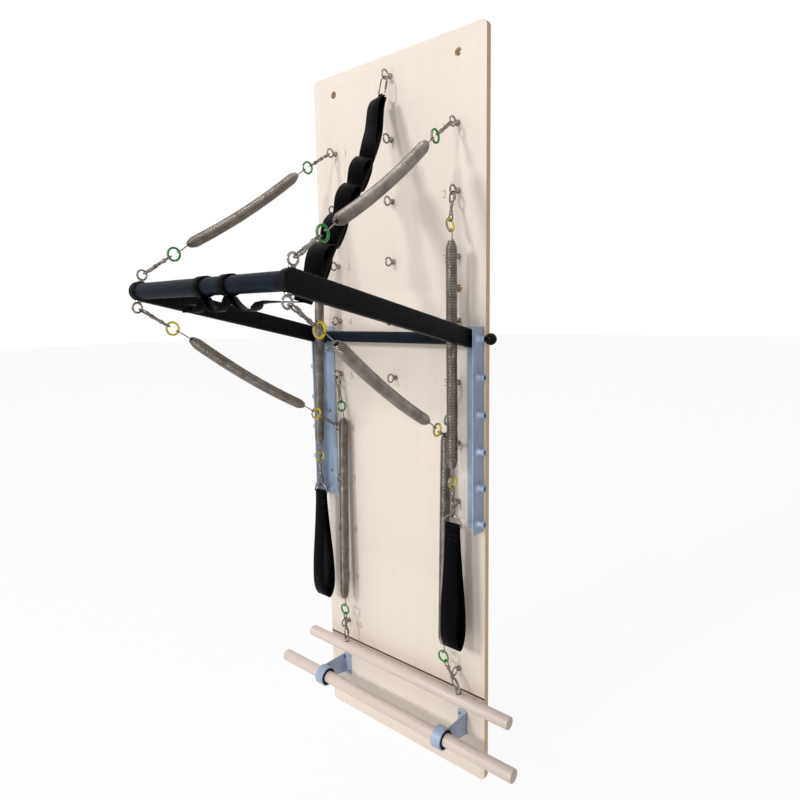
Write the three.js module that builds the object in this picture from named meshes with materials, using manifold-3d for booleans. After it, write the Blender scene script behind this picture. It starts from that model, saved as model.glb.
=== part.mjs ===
// Pilates tower unit: a wall board with eye bolts, a push-through bar on two side brackets,
// eight springs with snap hooks and colour rings, foot straps, a roll-down bar and a foot bar.
// Millimetres. +X is to the right as one faces the board, +Y goes into the wall and +Z is up.
// The origin is on the back face of the board, at the middle of its width and height.
import * as THREE from "three";
import { mergeVertices } from "three/addons/utils/BufferGeometryUtils.js";
import Module from "manifold-3d";

const wasm = await Module();
wasm.setup();

// Driving dimensions of the board.
const boardWidth = 610;
const boardHeight = 2000;
const boardThick = 18;
const lowerPanelHeight = 250;
const boardCornerRadius = 15;
const seamChamfer = 2;
const seatGap = 0.3;
const cutOverrun = 2;

// Eye bolts: three columns of rings whose plane stands square to the board.
const columnX = 220;
const firstRowDrop = 220;
const lastRowRise = 313;
const sideRows = 10;
const rowPitch = (boardHeight - firstRowDrop - lastRowRise) / (sideRows - 1);
const centreRows = 6;
const eyeStandOff = 22;
const eyeRadius = 11.5;
const eyeWire = 2.5;
const eyeSteps = 8;
const collarRadius = 7.5;
const collarNeck = 4.5;
const shankRadius = 4;
const shankDepth = 14;
const shankSides = 6;
const idleEyeSink = 1;
const boltHoleSides = 8;

// Counterbored holes for the wall screws.
const wallHoleX = 222;
const topHoleDrop = 54;
const midHoleDrop = 627;
const seamHoleRise = 558;
const wallHoleDrops = [topHoleDrop, midHoleDrop, boardHeight - seamHoleRise];
const lowerHoleRise = 50;
const lowerHoleDrop = boardHeight - lowerHoleRise;
const wallHoleRadius = 4.5;
const counterboreRadius = 10;
const counterboreDepth = 6;
const wallHoleSides = 10;
const cornerSegments = 4;

// Side brackets: steel angles with a row of welded sockets for the pivot pins.
const bracketDrop = 725;
const bracketLength = 540;
const bracketLeg = 50;
const bracketWall = 3;
const bracketOuterX = 300;
const socketCount = 6;
const socketSides = 8;
const socketDrop = 30;
const socketPitch = 96;
const socketFlare = 11;
const socketNeck = 8;
const socketRim = 9;
const socketLength = 22;
const socketNeckShare = 0.4;
const socketRimShare = 0.7;
const pivotStandOff = 29;
const pinRadius = 5;
const pinSides = 8;
const pinHoleRadius = (pinRadius + seatGap) / Math.cos(Math.PI / pinSides);

// Push-through bar: two flat oval arms, a round handle, a cross tube and eye bolts at the corners.
const armReach = 588;
const armTilt = THREE.MathUtils.degToRad(12.6);
const armHeight = 46;
const armThick = 25;
const armCentreX = 277;
const armBevel = 3;
const handleRadius = 19;
const crossRadius = 16;
const tubeWall = 2;
const tubeSides = 16;
const armEndSegments = 8;
const barEyeStandOff = 16.5;
const knobRadius = 15;
const knobSides = 10;
const knobBands = 8;
const pinTipInset = 3;

// Snap hooks: a bow, a barrel and a swivel eye. Colour rings tell the spring strengths apart.
const hookWire = 2;
const hookLength = 82;
const bowLength = 30;
const bowHalfWidth = 7.5;
const barrelRadius = 4;
const swivelHalfWidth = 8;
const swivelLength = 18;
const loopSteps = 8;
const swivelSteps = 6;
const barrelSides = 5;
const ringRadius = 15.5;
const ringWire = 2.5;
const ringSteps = 10;
const ringSides = 4;
const linkGap = 0.3;
const linkSlack = 1.4;

// Springs: close-wound in the real product, drawn here with fewer curls of the real wire.
const springRadius = 14.5;
const springWire = 1.5;
const springCurls = 6;
const curlSteps = 8;
const coilSides = 5;
const barSpringLength = 405;
const legSpringLength = 576;
const springTail = 38;
const springHookReach = 5.1;
const curlStart = 0.1;
const curlWidening = 0.9;

// Foot straps on D-rings.
const legStandOff = 66;
const legRightTopX = 246;
const legRightBottomX = 246;
const legLeftTopX = 234;
const legLeftBottomX = 262;
const legRingXShare = 0.6;
const legRingStandOff = 56;
const dRingRadius = 28;
const dRingWire = 2.2;
const dRingSteps = 8;
const strapWidth = 46;
const strapThick = 3;
const strapLength = 345;
const strapSteps = 24;
const strapBelly = 22;

// Roll-down bar: a wooden dowel on two springs.
const rollRingX = 203;
const rollSpringX = 195.5;
const rollSpringStandOff = 24;
const rollRingStandOff = 42;
const rollBarRadius = 17;
const rollBarLength = 760;
const rollBarDrift = 31;
const rollBarStandOff = 46;
const rollBarRise = 253;
const rollBarDrop = boardHeight - rollBarRise;
const rollEyeSpan = 436;
const rollEyeRadius = 9;
const rollEyeWire = 2;
const rollEyeHeight = 25;
const dowelChamfer = 2;
const rollBarSides = 14;

// Foot bar: a fixed wooden dowel in two clamps on the lower panel.
const footBarRadius = 18;
const footBarSides = 16;
const footBarLength = 880;
const footBarDrift = 18;
const footBarStandOff = 104;
const footBarRise = 163;
const footBarDrop = boardHeight - footBarRise;
const clampX = 232;
const clampRadius = 30;
const clampWidth = 30;
const clampSides = 20;
const clampPlateWidth = 30;
const clampPlateHeight = 72;
const clampPlateThick = 4;
const clampGussetThick = 4;
const gussetInset = 15;
const gussetHalfHeight = 22.5;
const clampPlateRise = 154;
const clampPlateDrop = boardHeight - clampPlateRise;

// Safety strap: looped webbing from the top eye bolt down to the handle, where it winds round twice.
const webWidth = 38;
const webThick = 3;
const webGap = 0.4;
const webEnd = { x: 215, standOff: 522, drop: 663 };
const webEyeRadius = 6;
const webEyeWidth = 8;
const webLeanShare = 0.27;
const loopBulge = 26;
const loopFlatness = 0.7;
const loopBendSteps = 5;
const loopShares = [
  [0, 0.2, 1],
  [0.21, 0.37, -1],
  [0.33, 0.52, 1],
  [0.47, 0.68, -1],
  [0.66, 0.84, 1],
  [0.74, 0.97, -1],
];
const swagDrop = 30;
const swagSteps = 4;
const wrapWidth = 26;
const wrapXs = [90, 0];
const wrapSteps = 10;
const tailEndX = -70;
const webHookLength = 56;
const webHookHalfWidth = 11;

const wood = { color: 0xe9dccb, roughness: 0.55, metalness: 0 };
const dowelWood = { color: 0xdcc9bd, roughness: 0.5, metalness: 0 };
const blueSteel = { color: 0x7e90a6, roughness: 0.4, metalness: 0.6 };
const blackPaint = { color: 0x17181c, roughness: 0.5, metalness: 0.2 };
const zinc = { color: 0xc4c0bb, roughness: 0.3, metalness: 0.9 };
const springSteel = { color: 0x8a827b, roughness: 0.35, metalness: 0.9 };
const blackPlastic = { color: 0x0c0c0e, roughness: 0.25, metalness: 0 };
const webbing = { color: 0x101116, roughness: 0.85, metalness: 0 };
const ringPaints = {
  green: { color: 0x16a33a, roughness: 0.35, metalness: 0.1 },
  yellow: { color: 0xe8dc1c, roughness: 0.35, metalness: 0.1 },
};

const tailAngles = [1 / 3, 0, -1 / 4, -1 / 2, -3 / 4].map((share) => share * Math.PI);
const ribbonCorners = [[1, 1], [-1, 1], [-1, -1], [1, -1]];

const part = new THREE.Group();
const X = new THREE.Vector3(1, 0, 0);
const Y = new THREE.Vector3(0, 1, 0);
const Z = new THREE.Vector3(0, 0, 1);

// Places are given by the distance in front of the board and the drop from its top edge.
const fromBoard = (standOff) => -(boardThick + standOff);
const fromTop = (drop) => boardHeight / 2 - drop;
const place = (x, standOff, drop) =>
  new THREE.Vector3(x, fromBoard(standOff), fromTop(drop));
const rowDrop = (row) => firstRowDrop + rowPitch * (row - 1);
const eyeCentre = (x, row) => place(x, eyeStandOff, rowDrop(row));

function solid(geometry) {
  const bare = geometry.index ? geometry.toNonIndexed() : geometry.clone();
  bare.deleteAttribute("normal");
  bare.deleteAttribute("uv");
  const merged = mergeVertices(bare, 1e-4);
  return new wasm.Manifold(
    new wasm.Mesh({
      numProp: 3,
      vertProperties: new Float32Array(merged.attributes.position.array),
      triVerts: new Uint32Array(merged.index.array),
    }),
  );
}

function addPart(name, body, look) {
  const made = body.getMesh();
  const geometry = new THREE.BufferGeometry();
  geometry.setAttribute(
    "position",
    new THREE.BufferAttribute(made.vertProperties, 3),
  );
  geometry.setIndex(new THREE.BufferAttribute(made.triVerts, 1));
  geometry.computeVertexNormals();
  const mesh = new THREE.Mesh(geometry, new THREE.MeshStandardMaterial(look));
  mesh.name = name;
  part.add(mesh);
}

const joined = (bodies) => bodies.reduce((all, one) => all.add(one));

// A local frame whose Z runs along a direction and whose X lies near a given side direction.
function frameAlong(origin, along, side) {
  const w = along.clone().normalize();
  const u = side.clone().addScaledVector(w, -side.dot(w)).normalize();
  const v = new THREE.Vector3().crossVectors(w, u);
  return new THREE.Matrix4().makeBasis(u, v, w).setPosition(origin);
}

function box(low, high) {
  const size = new THREE.Vector3().subVectors(high, low);
  const middle = new THREE.Vector3().addVectors(low, high).multiplyScalar(0.5);
  return solid(
    new THREE.BoxGeometry(size.x, size.y, size.z).translate(
      middle.x,
      middle.y,
      middle.z,
    ),
  );
}

// A turned solid: profile points are [radius, height along the local Z].
function turned(profile, frame, sides) {
  const points = profile.map(([r, h]) => new THREE.Vector2(r, h));
  return solid(
    new THREE.LatheGeometry(points, sides)
      .rotateX(Math.PI / 2)
      .applyMatrix4(frame),
  );
}

const rod = (from, to, radius, sides) =>
  turned(
    [
      [0, 0],
      [radius, 0],
      [radius, from.distanceTo(to)],
      [0, from.distanceTo(to)],
    ],
    frameAlong(from, to.clone().sub(from), Math.abs(to.x - from.x) > 0 ? Y : X),
    sides,
  );

// A ring about a centre, in the plane that holds a direction and is square to a side direction.
function ringSolid(centre, radius, thick, steps, along, side) {
  const frame = frameAlong(centre, along, side);
  const turnedRound = new THREE.Matrix4().makeRotationY(Math.PI / 2);
  const torus = new THREE.TorusGeometry(radius, thick, ringSides, steps);
  return solid(torus.applyMatrix4(frame.multiply(turnedRound)));
}

// A wire of round section along points, with flat ends, or joined end to end when closed.
function wire(points, radius, sides, closed = false) {
  const count = points.length;
  const tangent = (i) => {
    const before = closed
      ? points[(i - 1 + count) % count]
      : points[Math.max(i - 1, 0)];
    const after = closed
      ? points[(i + 1) % count]
      : points[Math.min(i + 1, count - 1)];
    return after.clone().sub(before).normalize();
  };
  const first = tangent(0);
  let side = Math.abs(first.y) < Math.SQRT1_2 ? Y.clone() : X.clone();
  const positions = [];
  for (let i = 0; i < count; i++) {
    const along = tangent(i);
    side.addScaledVector(along, -side.dot(along)).normalize();
    const other = new THREE.Vector3().crossVectors(along, side);
    for (let k = 0; k < sides; k++) {
      const angle = (2 * Math.PI * k) / sides;
      const corner = points[i]
        .clone()
        .addScaledVector(side, radius * Math.cos(angle))
        .addScaledVector(other, radius * Math.sin(angle));
      positions.push(corner.x, corner.y, corner.z);
    }
  }
  return sweptSolid(positions, count, sides, closed);
}

// Joins rings of corner points into one closed surface.
function sweptSolid(positions, rings, sides, closed) {
  const faces = [];
  const spans = closed ? rings : rings - 1;
  for (let i = 0; i < spans; i++) {
    const j = (i + 1) % rings;
    for (let k = 0; k < sides; k++) {
      const n = (k + 1) % sides;
      faces.push(i * sides + k, i * sides + n, j * sides + n);
      faces.push(i * sides + k, j * sides + n, j * sides + k);
    }
  }
  if (!closed) {
    const last = (rings - 1) * sides;
    for (let k = 1; k < sides - 1; k++) {
      faces.push(0, k + 1, k, last, last + k, last + k + 1);
    }
  }
  const geometry = new THREE.BufferGeometry();
  geometry.setAttribute(
    "position",
    new THREE.Float32BufferAttribute(positions, 3),
  );
  geometry.setIndex(faces);
  return solid(geometry);
}

// Flat webbing along points: across gives the direction of its width at each point.
function ribbon(points, across, width, thick, closed = false) {
  const count = points.length;
  const positions = [];
  points.forEach((point, i) => {
    const before = closed ? points[(i - 1 + count) % count] : points[Math.max(i - 1, 0)];
    const after = closed ? points[(i + 1) % count] : points[Math.min(i + 1, count - 1)];
    const along = after.clone().sub(before).normalize();
    const side = across(i).clone();
    side.addScaledVector(along, -side.dot(along)).normalize();
    const up = new THREE.Vector3().crossVectors(along, side);
    for (const [a, b] of ribbonCorners) {
      const corner = point
        .clone()
        .addScaledVector(side, (a * width) / 2)
        .addScaledVector(up, (b * thick) / 2);
      positions.push(corner.x, corner.y, corner.z);
    }
  });
  return sweptSolid(positions, count, ribbonCorners.length, closed);
}

// One eye: a ring with its collar, standing on a face at foot and pointing along out. The
// ring's plane is square to side.
function eye(foot, out, side, height, radius, wireRadius, collar, neck) {
  const centre = foot.clone().addScaledVector(out, height);
  const top = height - radius;
  const stem = turned(
    [
      [0, 0],
      [collar, 0],
      [neck, top],
      [0, top],
    ],
    frameAlong(foot, out, X),
    shankSides,
  );
  return stem.add(ringSolid(centre, radius, wireRadius, eyeSteps, out, side));
}

const boardEye = (x, row, seat) =>
  eye(
    place(x, seat, rowDrop(row)),
    Y.clone().negate(),
    X,
    eyeStandOff - seat,
    eyeRadius,
    eyeWire,
    collarRadius,
    collarNeck,
  );

// The eye bolts that hold a spring or the strap, by column and row.
const usedEyes = [
  ["left", -columnX, [1, 2, 5, 6]],
  ["right", columnX, [1, 2, 5, 6]],
];

function addEyeBolts() {
  for (const [side, x, rows] of usedEyes) {
    for (const row of rows) {
      const shank = rod(
        place(x, seatGap + cutOverrun, rowDrop(row)),
        place(x, -shankDepth, rowDrop(row)),
        shankRadius,
        shankSides,
      );
      addPart(
        `eye_bolt_${side}_${row}`,
        boardEye(x, row, seatGap).add(shank),
        zinc,
      );
    }
  }
}

function roundedPanel(bottom, top, cornerBottom, cornerTop) {
  const half = boardWidth / 2;
  const outline = new THREE.Shape();
  outline.moveTo(-half + cornerBottom, bottom);
  outline.lineTo(half - cornerBottom, bottom);
  if (cornerBottom) outline.quadraticCurveTo(half, bottom, half, bottom + cornerBottom);
  outline.lineTo(half, top - cornerTop);
  if (cornerTop) outline.quadraticCurveTo(half, top, half - cornerTop, top);
  outline.lineTo(-half + cornerTop, top);
  if (cornerTop) outline.quadraticCurveTo(-half, top, -half, top - cornerTop);
  outline.lineTo(-half, bottom + cornerBottom);
  if (cornerBottom) outline.quadraticCurveTo(-half, bottom, -half + cornerBottom, bottom);
  const slab = new THREE.ExtrudeGeometry(outline, {
    depth: boardThick,
    bevelEnabled: false,
    curveSegments: cornerSegments,
  });
  return solid(slab.rotateX(Math.PI / 2));
}

function wallHole(x, drop) {
  const mouth = place(x, cutOverrun, drop);
  const shoulder = cutOverrun + counterboreDepth;
  const through = cutOverrun + boardThick + cutOverrun;
  return turned(
    [
      [0, 0],
      [counterboreRadius, 0],
      [counterboreRadius, shoulder],
      [wallHoleRadius, shoulder],
      [wallHoleRadius, through],
      [0, through],
    ],
    frameAlong(mouth, Y, X),
    wallHoleSides,
  );
}

// A wedge that breaks the front edge of a panel along the seam, so the joint shows as a groove.
function seamGroove(edge) {
  const half = boardWidth / 2 + cutOverrun;
  const front = fromBoard(0);
  const outline = new THREE.Shape([
    new THREE.Vector2(front + seamChamfer, edge),
    new THREE.Vector2(front - cutOverrun, edge - seamChamfer - cutOverrun),
    new THREE.Vector2(front - cutOverrun, edge + seamChamfer + cutOverrun),
  ]);
  const wedge = new THREE.ExtrudeGeometry(outline, {
    depth: 2 * half,
    bevelEnabled: false,
  });
  const frame = new THREE.Matrix4()
    .makeBasis(Y, Z, X)
    .setPosition(-half, 0, 0);
  return solid(wedge.applyMatrix4(frame));
}

function addBoard() {
  const seam = -boardHeight / 2 + lowerPanelHeight;
  let upper = roundedPanel(seam + seatGap / 2, boardHeight / 2, 0, boardCornerRadius);
  let lower = roundedPanel(-boardHeight / 2, seam - seatGap / 2, boardCornerRadius, 0);
  const groove = seamGroove(seam);
  upper = upper.subtract(groove);
  lower = lower.subtract(groove);
  for (const x of [-wallHoleX, wallHoleX]) {
    for (const drop of wallHoleDrops) upper = upper.subtract(wallHole(x, drop));
    lower = lower.subtract(wallHole(x, lowerHoleDrop));
  }
  const used = new Set();
  for (const [, x, rows] of usedEyes) {
    for (const row of rows) {
      used.add(`${x}/${row}`);
      const mouth = place(x, cutOverrun, rowDrop(row));
      const end = place(x, -shankDepth - seatGap, rowDrop(row));
      upper = upper.subtract(rod(mouth, end, shankRadius + seatGap, shankSides));
    }
  }
  // The eye bolts that hold nothing are one with the board.
  const columns = [
    [-columnX, 1, sideRows],
    [columnX, 1, sideRows],
    [0, 0, centreRows - 1],
  ];
  for (const [x, first, last] of columns) {
    for (let row = first; row <= last; row++) {
      if (!used.has(`${x}/${row}`)) upper = upper.add(boardEye(x, row, -idleEyeSink));
    }
  }
  addPart("upper_panel", upper, wood);
  addPart("lower_panel", lower, wood);
}

const pivot = (side) => place(side * armCentreX, pivotStandOff, bracketDrop + socketDrop);

// The angle's outline is drawn in plan: a flange on the board and a web along its outer edge.
function addBracket(name, side) {
  const back = fromBoard(seatGap);
  const outer = side * bracketOuterX;
  const inner = side * (bracketOuterX - bracketLeg);
  const webInner = side * (bracketOuterX - bracketWall);
  const plan = new THREE.Shape(
    [
      [outer, back],
      [inner, back],
      [inner, back - bracketWall],
      [webInner, back - bracketWall],
      [webInner, back - bracketLeg],
      [outer, back - bracketLeg],
    ].map(([x, y]) => new THREE.Vector2(x, y)),
  );
  const angle = new THREE.ExtrudeGeometry(plan, {
    depth: bracketLength,
    bevelEnabled: false,
  }).translate(0, 0, fromTop(bracketDrop + bracketLength));
  let body = solid(angle);
  const outwards = X.clone().multiplyScalar(side);
  for (let i = 0; i < socketCount; i++) {
    const drop = bracketDrop + socketDrop + socketPitch * i;
    const seat = place(webInner, pivotStandOff, drop);
    const length = bracketWall + socketLength;
    const socket = turned(
      [
        [0, bracketWall / 2],
        [socketFlare, bracketWall / 2],
        [socketNeck, bracketWall + socketLength * socketNeckShare],
        [socketRim, bracketWall + socketLength * socketRimShare],
        [socketRim, length],
        [0, length],
      ],
      frameAlong(seat, outwards, Y),
      socketSides,
    );
    const bore = rod(
      seat.clone().addScaledVector(outwards, -cutOverrun),
      seat.clone().addScaledVector(outwards, length + cutOverrun),
      pinHoleRadius,
      pinSides,
    );
    body = body.add(socket).subtract(bore);
  }
  addPart(name, body, blueSteel);
}

// Directions of the push bar at rest: along its arms to the front, and square to them, upwards.
const armAlong = new THREE.Vector3(0, -Math.cos(armTilt), Math.sin(armTilt));
const armUp = new THREE.Vector3(0, Math.sin(armTilt), Math.cos(armTilt));
const handleEnd = (side) => pivot(side).addScaledVector(armAlong, armReach);
const barEyeCentre = (side, up) =>
  handleEnd(side).addScaledVector(armUp, up * (armHeight / 2 + barEyeStandOff));

function addArm(name, side) {
  const r = armHeight / 2 - armBevel;
  const outline = new THREE.Shape();
  outline.absarc(0, 0, r, Math.PI / 2, (3 * Math.PI) / 2, false);
  outline.absarc(armReach, 0, r, -Math.PI / 2, Math.PI / 2, false);
  const bar = new THREE.ExtrudeGeometry(outline, {
    depth: armThick - 2 * armBevel,
    bevelEnabled: true,
    bevelThickness: armBevel,
    bevelSize: armBevel,
    bevelSegments: 1,
    curveSegments: armEndSegments,
  }).translate(0, 0, -(armThick - 2 * armBevel) / 2);
  const start = pivot(side);
  const frame = new THREE.Matrix4()
    .makeBasis(armAlong, armUp, X.clone().negate())
    .setPosition(start);
  const halfThick = X.clone().multiplyScalar(armThick / 2 + cutOverrun);
  const pinHole = rod(
    start.clone().sub(halfThick),
    start.clone().add(halfThick),
    pinHoleRadius,
    pinSides,
  );
  const end = handleEnd(side);
  const halfHeight = armUp.clone().multiplyScalar(armHeight / 2 + cutOverrun);
  const boltHole = rod(
    end.clone().sub(halfHeight),
    end.clone().add(halfHeight),
    shankRadius + seatGap,
    boltHoleSides,
  );
  addPart(name, solid(bar.applyMatrix4(frame)).subtract(pinHole).subtract(boltHole), blackPaint);
}

// A hollow tube between the inner faces of the arms.
function armTube(name, centre, radius) {
  const half = armCentreX - armThick / 2 - seatGap;
  const tube = turned(
    [
      [radius - tubeWall, -half],
      [radius, -half],
      [radius, half],
      [radius - tubeWall, half],
      [radius - tubeWall, -half],
    ],
    frameAlong(new THREE.Vector3(0, centre.y, centre.z), X, Y),
    tubeSides,
  );
  addPart(name, tube, blackPaint);
}

// One bolt through the arm's end, with an eye above it and an eye nut below.
function addBarEyeBolt(name, side) {
  const seat = armHeight / 2 + seatGap;
  const eyes = [1, -1].map((up) => {
    const out = armUp.clone().multiplyScalar(up);
    const foot = handleEnd(side).addScaledVector(out, seat);
    return eye(foot, out, X, barEyeStandOff - seatGap, eyeRadius, eyeWire, collarRadius, collarNeck);
  });
  const reach = armUp.clone().multiplyScalar(seat + seatGap);
  const shank = rod(
    handleEnd(side).sub(reach),
    handleEnd(side).add(reach),
    shankRadius,
    shankSides,
  );
  addPart(name, joined([shank, ...eyes]), zinc);
}

// A pull pin that carries an arm in the top socket, with a ball knob outside.
function addPivotPin(name, side) {
  const outwards = X.clone().multiplyScalar(side);
  const tip = pivot(side).addScaledVector(outwards, -armThick / 2 + pinTipInset);
  const rim = side * bracketOuterX + side * socketLength;
  const length = Math.abs(rim - tip.x) + seatGap;
  const ball = new THREE.SphereGeometry(knobRadius, knobSides, knobBands);
  const centre = tip.clone().addScaledVector(outwards, length + knobRadius + seatGap);
  const knob = solid(ball.translate(centre.x, centre.y, centre.z));
  const collar = rod(
    tip.clone().addScaledVector(outwards, length),
    centre,
    socketNeck,
    knobSides,
  );
  const pin = rod(tip, centre, pinRadius, pinSides);
  addPart(name, joined([pin, collar, knob]), blackPlastic);
}

function addPushBar() {
  addArm("push_bar_left_arm", -1);
  addArm("push_bar_right_arm", 1);
  armTube("push_bar_handle", handleEnd(1), handleRadius);
  armTube("push_bar_cross_tube", pivot(1), crossRadius);
  addBarEyeBolt("bar_eye_bolt_left", -1);
  addBarEyeBolt("bar_eye_bolt_right", 1);
  addPivotPin("pivot_pin_left", -1);
  addPivotPin("pivot_pin_right", 1);
}

// How far a hook's wire lies from the centre of the faceted ring that it pulls on.
const pullOffset = (radius, thick, steps) =>
  (radius - thick) * Math.cos(Math.PI / steps) - hookWire - linkGap;
const eyePull = pullOffset(eyeRadius, eyeWire, eyeSteps);
const ringPull = pullOffset(ringRadius, ringWire, 2 * ringSteps);
const hookSpan = eyePull + hookLength + ringPull;

// A closed loop of wire, straight-sided between its round ends, in the local XZ plane.
function loopPoints(halfWidth, start, end, steps) {
  const flat = Math.cos(Math.PI / steps);
  const points = [];
  for (let i = 0; i < steps; i++) {
    const angle = (2 * Math.PI * (i + 0.5)) / steps;
    const middle = Math.cos(angle) > 0 ? end - halfWidth : start + halfWidth;
    points.push(
      new THREE.Vector3(
        halfWidth * Math.sin(angle),
        0,
        middle + (halfWidth * Math.cos(angle)) / flat,
      ),
    );
  }
  return points;
}

// A snap hook: its bow tip at bowTip, its swivel eye on the way to target. The bow can be
// turned a quarter turn against the swivel eye.
function snapHook(bowTip, target, side, quarterTurn) {
  const along = target.clone().sub(bowTip).normalize();
  const frame = frameAlong(bowTip, along, side);
  const bowFrame = frame.clone();
  if (quarterTurn) bowFrame.multiply(new THREE.Matrix4().makeRotationZ(Math.PI / 2));
  const bow = loopPoints(bowHalfWidth, 0, bowLength, loopSteps);
  const swivelStart = hookLength - swivelLength;
  const swivel = loopPoints(swivelHalfWidth, swivelStart, hookLength, swivelSteps);
  const barrel = turned(
    [
      [0, bowLength - hookWire],
      [barrelRadius, bowLength - hookWire],
      [barrelRadius, swivelStart - hookWire],
      [hookWire, swivelStart + hookWire / 2],
      [0, swivelStart + hookWire / 2],
    ],
    frame,
    barrelSides,
  );
  return joined([
    barrel,
    wire(bow.map((p) => p.applyMatrix4(bowFrame)), hookWire, ringSides, true),
    wire(swivel.map((p) => p.applyMatrix4(frame)), hookWire, ringSides, true),
  ]);
}

// A colour ring stands edge-on to the board and holds the direction of its chain.
const colourRing = (centre, along) =>
  ringSolid(centre, ringRadius, ringWire, ringSteps, along, X);

// The centre line of a spring from its ring at start to its ring at end: a straight tail,
// one curl that widens, the body's curls, one curl that narrows and a hooked tail.
function springPath(start, end, bodyFrom, bodyTo) {
  const axis = bodyTo.clone().sub(bodyFrom);
  const frame = frameAlong(bodyFrom, axis, X);
  const length = axis.length();
  const radius = springRadius - springWire;
  const steps = springCurls * curlSteps;
  const points = [start.clone()];
  points.push(bodyFrom.clone().addScaledVector(axis, (-2 * springWire) / length));
  for (let i = 0; i <= steps; i++) {
    const turn = i / curlSteps;
    const fromEnd = Math.min(turn, springCurls - turn);
    const widening = Math.min(1, (fromEnd + curlStart) / curlWidening);
    const angle = 2 * Math.PI * turn;
    points.push(
      new THREE.Vector3(
        radius * widening * Math.cos(angle),
        radius * widening * Math.sin(angle),
        (length * i) / steps,
      ).applyMatrix4(frame),
    );
  }
  points.push(bodyTo.clone().addScaledVector(axis, (2 * springWire) / length));
  const back = frameAlong(end, bodyTo.clone().sub(end), X);
  for (const angle of tailAngles) {
    points.push(
      new THREE.Vector3(
        springHookReach * Math.cos(angle),
        0,
        ringRadius + springHookReach * Math.sin(angle),
      ).applyMatrix4(back),
    );
  }
  return points;
}

// The least clear distance between parts of a wire that aren't neighbours along it.
function leastSelfGap(points, radius) {
  const apart = curlSteps / 2;
  let least = Infinity;
  for (let i = 0; i < points.length; i++) {
    for (let j = i + apart; j < points.length; j++) {
      least = Math.min(least, points[i].distanceTo(points[j]) - 2 * radius);
    }
  }
  return least;
}

// A spring whose near tail is closed on its own colour ring, which holds the direction along.
function addSpring(name, start, along, end, bodyFrom, bodyTo) {
  const near = start.clone().addScaledVector(bodyFrom.clone().sub(start).normalize(), ringRadius);
  const path = springPath(near, end, bodyFrom, bodyTo);
  console.log(`${name} least gap to itself ${leastSelfGap(path, springWire).toFixed(2)} mm`);
  const coil = wire(path, springWire, coilSides);
  addPart(name, coil.add(colourRing(start, along)), springSteel);
}

// The chain from a board eye to the push bar: hook, ring and spring, ring, hook.
function addBarSpring(level, sideName, side, row, up, paint) {
  const name = `${level}_${sideName}`;
  const eyeAt = eyeCentre(side * columnX, row);
  const barAt = barEyeCentre(side, up);
  const along = barAt.clone().sub(eyeAt).normalize();
  const rearRing = eyeAt.clone().addScaledVector(along, hookSpan);
  const frontRing = barAt.clone().addScaledVector(along, linkSlack - hookSpan);
  const spare = (rearRing.distanceTo(frontRing) - barSpringLength) / 2;
  const bodyFrom = rearRing.clone().addScaledVector(along, spare);
  const bodyTo = frontRing.clone().addScaledVector(along, -spare);
  const rearTip = eyeAt.clone().addScaledVector(along, eyePull);
  const frontTip = barAt.clone().addScaledVector(along, -eyePull);
  addPart(`${name}_rear_hook`, snapHook(rearTip, rearRing, X, false), zinc);
  addSpring(`${name}_spring`, rearRing, along, frontRing, bodyFrom, bodyTo);
  addPart(`${name}_front_ring`, colourRing(frontRing, along), ringPaints[paint]);
  addPart(`${name}_front_hook`, snapHook(frontTip, frontRing, X, false), zinc);
}

// A D-ring in the plane that faces the room: a bow above a straight bar.
function addDRing(name, top) {
  const bow = [];
  for (let i = 0; i <= dRingSteps; i++) {
    const angle = (Math.PI * i) / dRingSteps;
    bow.push(
      new THREE.Vector3(
        top.x + dRingRadius * Math.cos(angle),
        top.y,
        top.z - dRingRadius + dRingRadius * Math.sin(angle),
      ),
    );
  }
  addPart(name, wire(bow, dRingWire, ringSides, true), zinc);
}

// A padded foot strap: a drop-shaped loop of webbing round the D-ring's bar. Each row is the
// loop's half width and its drop below the bar, as shares of the belly and of the length.
const strapProfile = [
  [0, -0.012],
  [0.2, 0],
  [0.25, 0.1],
  [0.62, 0.38],
  [1, 0.68],
  [0.9, 0.9],
  [0, 1],
];

function addFootStrap(name, bar) {
  const right = strapProfile.map(([out, drop]) => [out * strapBelly, -drop * strapLength]);
  const left = right
    .slice(1, -1)
    .map(([y, z]) => [-y, z])
    .reverse();
  const curve = new THREE.CatmullRomCurve3(
    [...right, ...left].map(([y, z]) => new THREE.Vector3(bar.x, bar.y + y, bar.z + z)),
    true,
    "catmullrom",
    0.5,
  );
  const points = curve.getPoints(strapSteps).slice(0, -1);
  addPart(name, ribbon(points, () => X, strapWidth, strapThick, true), webbing);
}

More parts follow.
